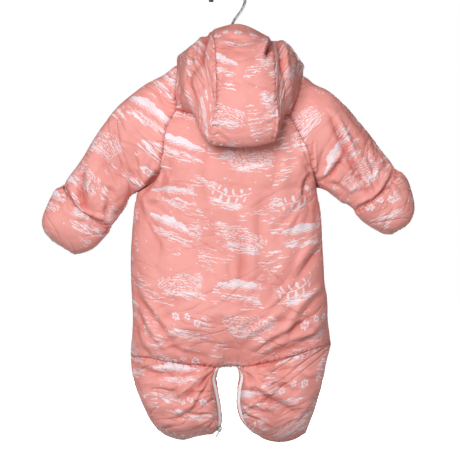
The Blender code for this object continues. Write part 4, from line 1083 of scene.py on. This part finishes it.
def sewn(name, outer, inner, pattern, turned, drawn, finishes, closed_round=False, bag=False):
    """A closed piece of cloth between two grids. A tube's columns meet, and a bag's far end is shut."""
    rows, columns = outer.shape[:2]
    side = rows * columns
    faces = []
    for row in range(rows - 1):
        for a in range(row * columns, (row + 1) * columns - 1):
            b = a + columns
            faces += [(a, a + 1, b + 1, b), (side + b, side + b + 1, side + a + 1, side + a)]
    outer_faces = len(faces)
    if bag:
        start, last = side - columns, columns - 1
        for column in range(last // 2):
            ring = list(dict.fromkeys([column, column + 1, last - column - 1, last - column]))
            faces += [tuple(start + step for step in ring),
                      tuple(side + start + step for step in ring[::-1])]
    # The edges between the outer cloth and the lining, and whether their faces run the other way.
    edges = [(range(columns), True)]
    if not bag:
        edges.append((range(side - columns, side), False))
    if not closed_round:
        edges += [(range(0, side, columns), False), (range(columns - 1, side, columns), True)]
    for edge, flip in edges:
        for a, b in zip(edge, edge[1:]):
            faces.append((side + a, side + b, b, a) if flip else (a, b, side + b, side + a))
    if turned:
        faces = [face[::-1] for face in faces]
    thing = mesh_object(name, np.vstack([outer.reshape(-1, 3), inner.reshape(-1, 3)]) * MM, faces)
    mesh = thing.data
    layer = mesh.uv_layers.new(name="flat_pattern")
    pattern = np.vstack([pattern.reshape(-1, 2)] * 2)
    corners = np.empty(len(mesh.loops), int)
    mesh.loops.foreach_get("vertex_index", corners)
    layer.data.foreach_set("uv", pattern[corners].ravel())
    for label, values in drawn.items():
        values = np.tile(np.broadcast_to(values, outer.shape[:2]).ravel(), 2).astype(np.float32)
        mesh.attributes.new(label, "FLOAT", "POINT").data.foreach_set("value", values)
    for finish in finishes:
        mesh.materials.append(finish)
    inside_cloth = np.zeros(len(mesh.polygons), np.int32)
    inside_cloth[1:outer_faces:2] = len(finishes) - 1
    mesh.polygons.foreach_set("material_index", inside_cloth)
    if closed_round:
        thing.modifiers.new("weld", "WELD").merge_threshold = 1e-6
        apply_modifiers(thing)
    return thing


def carry(piece, solid=None):
    """Put a piece on the suit, in the place of its solid, which is hidden."""
    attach(piece, "suit")
    if solid:
        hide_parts(solid)


# Each piece carries its slack, its seams and its painted shade to the cloth's material.
drawn_everywhere = {"slack": slack, "seam_far": seam_far, "hollow": hollow, "seam_at": seam_turn}
cloth, outer_grids, outer_normals = {}, {}, {}
for number, (name, (start, shape, turned)) in enumerate(zip(pieces, spans)):
    own = slice(start, start + shape[0] * shape[1])
    outer, out = shaped[own].reshape(*shape, 3), shaped_normals[own].reshape(*shape, 3)
    drawn = {label: values[own].reshape(shape) for label, values in drawn_everywhere.items()}
    tube = name.startswith("sleeve")
    shift = np.multiply(PATTERN_SHIFT, number)
    pattern = (tube_pattern if tube else flat_pattern)(pieces[name][0], shift)
    cloth[name] = sewn(name + "_cloth", outer, outer - out * CLOTH_THICK, pattern, turned, drawn,
                       (printed, lining), closed_round=tube)
    outer_grids[name], outer_normals[name] = outer, out
    carry(cloth[name], name)

# ---- Fold-over mittens ------------------------------------------------------------------------
# Bags of the same cloth over the sleeves' ends, gathered on elastic at the mouth. The front is sewn
# to the sleeve, and the back turns over the hand.

MITTEN_COLUMNS, MITTEN_ROWS = 20 * FINE, 8 * FINE
MITTEN = {
    "left": [
        # along, top x, top z, under x, under z, half depth
        (0.0, -231, -284, -163, -345, 31.5), (0.2, -243, -295, -167, -352, 33),
        (0.45, -255, -317, -176, -362, 31), (0.7, -261, -337, -189, -374, 27),
        (0.88, -257, -352, -204, -381, 19), (1.0, -247, -364, -216, -383, 6)],
    "right": [
        (0.0, 234, -263, 174, -320.5, 31.5), (0.2, 245, -271, 179, -328, 33),
        (0.45, 255, -290, 188, -338, 31), (0.7, 259.5, -317, 205, -348, 27),
        (0.88, 254.5, -335.5, 218.5, -354, 19), (1.0, 247.5, -344.5, 229, -355, 6)],
}
MOUTH_SCOOP, MOUTH_SHARE = 11.0, 0.43
MITTEN_SET_BACK = 2.4
MITTEN_SHIFT = {"left": (0.5, 0.9), "right": (0.5, 0.4)}
GATHERS = 20
ELASTIC_PLACE, ELASTIC_REACH = 0.075, 0.05


def facing(grid, turned):
    """The way that one piece's cloth faces at each of its points."""
    return outward(grid.reshape(-1, 3), [(0, grid.shape[:2], turned)]).reshape(grid.shape)


for side in SIDES:
    rings = [oval(row, MITTEN_COLUMNS) for row in MITTEN[side]]
    grid = through_rings([row[0] for row in MITTEN[side]], rings, MITTEN_ROWS)
    turn = np.linspace(0, 2 * np.pi, MITTEN_COLUMNS + 1)
    toward_end = unit(grid[-1, :-1].mean(axis=0) - grid[0, :-1].mean(axis=0))
    share = np.linspace(0, 1, MITTEN_ROWS + 1)[:, None]
    scoop = np.clip(1 - share / MOUTH_SHARE, 0, 1) * np.clip(np.sin(turn), 0, 1) * MOUTH_SCOOP
    grid += scoop[..., None] * toward_end - [0, MITTEN_SET_BACK, 0]
    turned = side == "right"
    out = facing(grid, turned)
    wander, lump = clouds(grid, size=22), clouds(grid / 34 + 7)
    gather = gathers(GATHERS / 2 * turn + 3.4 * wander)
    gather *= (2.3 * np.exp(-share / 0.13) + 0.6 * np.exp(-share / 0.5)) * (0.75 + 1.0 * wander)
    closing = bell(1 - share, 0.10)
    pinch = np.cos(9 * turn + 5 * wander) * closing * 0.35
    band = 0.9 * bell(share - ELASTIC_PLACE, ELASTIC_REACH)
    band = band + 2.2 * np.exp(-share / 0.09) * np.abs(np.cos(turn)) ** 6
    height = gather + 2.2 * lump * np.clip(share * 5, 0, 1) * (1 - closing) + pinch - band
    ragged = (2.4 * wander + 1.4 * lump + 0.7 * gather) * np.exp(-share / 0.08) * np.sin(turn) ** 2
    outer = grid + out * height[..., None] + toward_end * ragged[..., None]
    outer[:, -1] = outer[:, 0]
    out = facing(outer, turned)
    inner = outer - out * CLOTH_THICK
    inner[-1] -= toward_end * CLOTH_THICK
    # Painted shade in the troughs of the gathers and at the mouth.
    drawn = {"slack": 0.8, "seam_far": share * 90, "seam_at": turn * 9,
             "hollow": np.clip(-gather / 2.2, 0, 0.7) + 0.5 * bell(share, 0.02)}
    name = "mitten_" + side
    pattern = tube_pattern(grid, MITTEN_SHIFT[side])
    cloth[name] = sewn(name + "_cloth", outer, inner, pattern, turned, drawn, (printed, lining),
                       closed_round=True, bag=True)
    outer_grids[name], outer_normals[name] = outer, out
    carry(cloth[name], name)

# ---- Zips -------------------------------------------------------------------------------------
# Two white coil zips: one up the front to the chin, and one from foot to foot round the inside of the
# legs. The tape is sewn under the cloth's edges, and the coil's teeth stand along its middle.

TAPE_COLUMNS = 8
TAPE_SUNK, TAPE_THICK, TAPE_SWELL = 0.7, 1.3, 0.35
TOOTH, TOOTH_PITCH, TOOTH_LIFT = (1.25, 3.2, 1.0), 1.6, 0.15


def along_lines(name, lines, pitch, size, material, rings=5, segments=7):
    """Small rounded beads set along lines on the cloth: size is (along, across, out) in millimetres."""
    points, outs, edges = [], [], []
    for line, out in lines:
        edges += [(len(points) + step, len(points) + step + 1) for step in range(len(line) - 1)]
        points += list(line)
        outs += list(out)
    thing = mesh_object(name, np.array(points) * MM, [], edges)
    facing_out = thing.data.attributes.new("facing", "FLOAT_VECTOR", "POINT")
    facing_out.data.foreach_set("vector", np.array(outs, np.float32).ravel())
    tree = bpy.data.node_groups.new(name + "_run", "GeometryNodeTree")
    inputs = {"Geometry": None, "Pitch": pitch * MM, "Size": tuple(value * MM for value in size),
              "Material": material}
    for label, kind in zip(inputs, ("Geometry", "Float", "Vector", "Material")):
        tree.interface.new_socket(label, in_out="INPUT", socket_type="NodeSocket" + kind)
    tree.interface.new_socket("Geometry", in_out="OUTPUT", socket_type="NodeSocketGeometry")
    given = add(tree, "NodeGroupInput").outputs
    curve = add(tree, "GeometryNodeMeshToCurve", {"Mesh": given["Geometry"]})
    spots = add(tree, "GeometryNodeCurveToPoints", {
        "Curve": curve.outputs[0], "Length": given["Pitch"]}, mode="LENGTH")
    facing_out = add(tree, "GeometryNodeInputNamedAttribute", {"Name": "facing"},
                     data_type="FLOAT_VECTOR")
    turn = add(tree, "FunctionNodeAxesToRotation", {
        "Primary Axis": facing_out.outputs[0], "Secondary Axis": spots.outputs["Tangent"]},
        primary_axis="Z", secondary_axis="X")
    bead = add(tree, "GeometryNodeMeshUVSphere", {"Segments": segments, "Rings": rings, "Radius": 0.5})
    beads = add(tree, "GeometryNodeInstanceOnPoints", {
        "Points": spots.outputs["Points"], "Instance": bead.outputs["Mesh"],
        "Rotation": turn.outputs[0], "Scale": given["Size"]})
    real = add(tree, "GeometryNodeRealizeInstances", beads.outputs[0])
    smooth = add(tree, "GeometryNodeSetShadeSmooth", real.outputs[0])
    done = add(tree, "GeometryNodeSetMaterial", {
        "Geometry": smooth.outputs[0], "Material": given["Material"]})
    add(tree, "NodeGroupOutput", done.outputs[0])
    modifier = thing.modifiers.new("run", "NODES")
    modifier.node_group = tree
    for item in tree.interface.items_tree:
        if item.in_out == "INPUT" and inputs[item.name] is not None:
            modifier[item.identifier] = inputs[item.name]
    apply_modifiers(thing)
    return thing


tape_look = {"Roughness": 0.78, "Sheen Weight": 0.15, "Specular IOR Level": 0.25}
tape_twill = grained("zip_tape_twill", tape_look, 420.0, twist=1.0, relief=(0.4, 0.0002),
                     tones=((0.90, 0.89, 0.90), (0.97, 0.96, 0.97)))
coil_look = {"Roughness": 0.35, "Subsurface Weight": 0.1, "Subsurface Scale": 0.001}
coil_nylon = grained("coil_nylon", coil_look, 900.0, tones=((0.88, 0.87, 0.89), (0.95, 0.94, 0.96)))
zips = {
    "front_zip": [np.vstack([collar_edge[side][:-1], front_opening[side]]) for side in SIDES],
    "leg_zip": [
        np.vstack([zip_edge("left", front)[::-1], crotch_edge(front)[1:-1], zip_edge("right", front)])
        for front in (False, True)],
}
for name, edges in zips.items():
    across = np.linspace(0, 1, TAPE_COLUMNS + 1)
    grid = between(*edges, across)
    out = facing(grid, False)
    outer = grid + out * (TAPE_SWELL * np.sin(np.pi * across) ** 2 - TAPE_SUNK)[None, :, None]
    inner, pattern = outer - out * TAPE_THICK, flat_pattern(grid, (0, 0))
    cloth[name] = sewn(name + "_tape", outer, inner, pattern, False, {}, (tape_twill,))
    middle_line, middle_out = outer[:, TAPE_COLUMNS // 2], out[:, TAPE_COLUMNS // 2]
    middle_line = middle_line + middle_out * TOOTH_LIFT
    teeth = along_lines(name + "_coil", [(middle_line, middle_out)], TOOTH_PITCH, TOOTH, coil_nylon)
    carry(cloth[name], name)
    carry(teeth)
    outer_grids[name], outer_normals[name] = outer, out

# The sliders and their pull tabs are cast zinc, plated and left satin.
refinish(grained("cast_zinc", {"Metallic": 1.0}, 700.0, 4.0, roughness=(0.30, 0.46),
                 relief=(0.2, 0.0002), tones=((0.27, 0.268, 0.275), (0.42, 0.415, 0.42))),
         "front_slider", "front_pull", "leg_slider", "leg_pull")

# ---- Stitching --------------------------------------------------------------------------------
# Coral thread, topstitched beside the zips, the hood's seams and edge, the raglan seams and the
# mittens' mouths.

STITCH, STITCH_PITCH, STITCH_LIFT = (2.3, 0.5, 0.42), 3.1, 0.12
STITCHED = [
    # pieces, and the row or column of their cloth that the stitches follow
    ("hood_middle", "row", -2), ("hood_side", "row", -2), ("hood_side", "column", 1),
    ("front", "column", -2), ("back_leg", "column", -3), ("hood_side", "column", -2),
    ("mitten", "row", 3), ("sleeve", "row", 1),
]
thread = grained("coral_thread", {"Roughness": 0.6, "Sheen Weight": 0.2}, 900.0, twist=0.0,
                 tones=((0.56, 0.16, 0.13), (0.74, 0.25, 0.20)))
lines = []
for name, kind, place in STITCHED:
    for name in ([name] if name in cloth else [name + "_left", name + "_right"]):
        line = (slice(None), place) if kind == "column" else place
        out = outer_normals[name][line]
        lines.append((outer_grids[name][line] + out * STITCH_LIFT, out))
carry(along_lines("topstitching", lines, STITCH_PITCH, STITCH, thread, 4, 6))
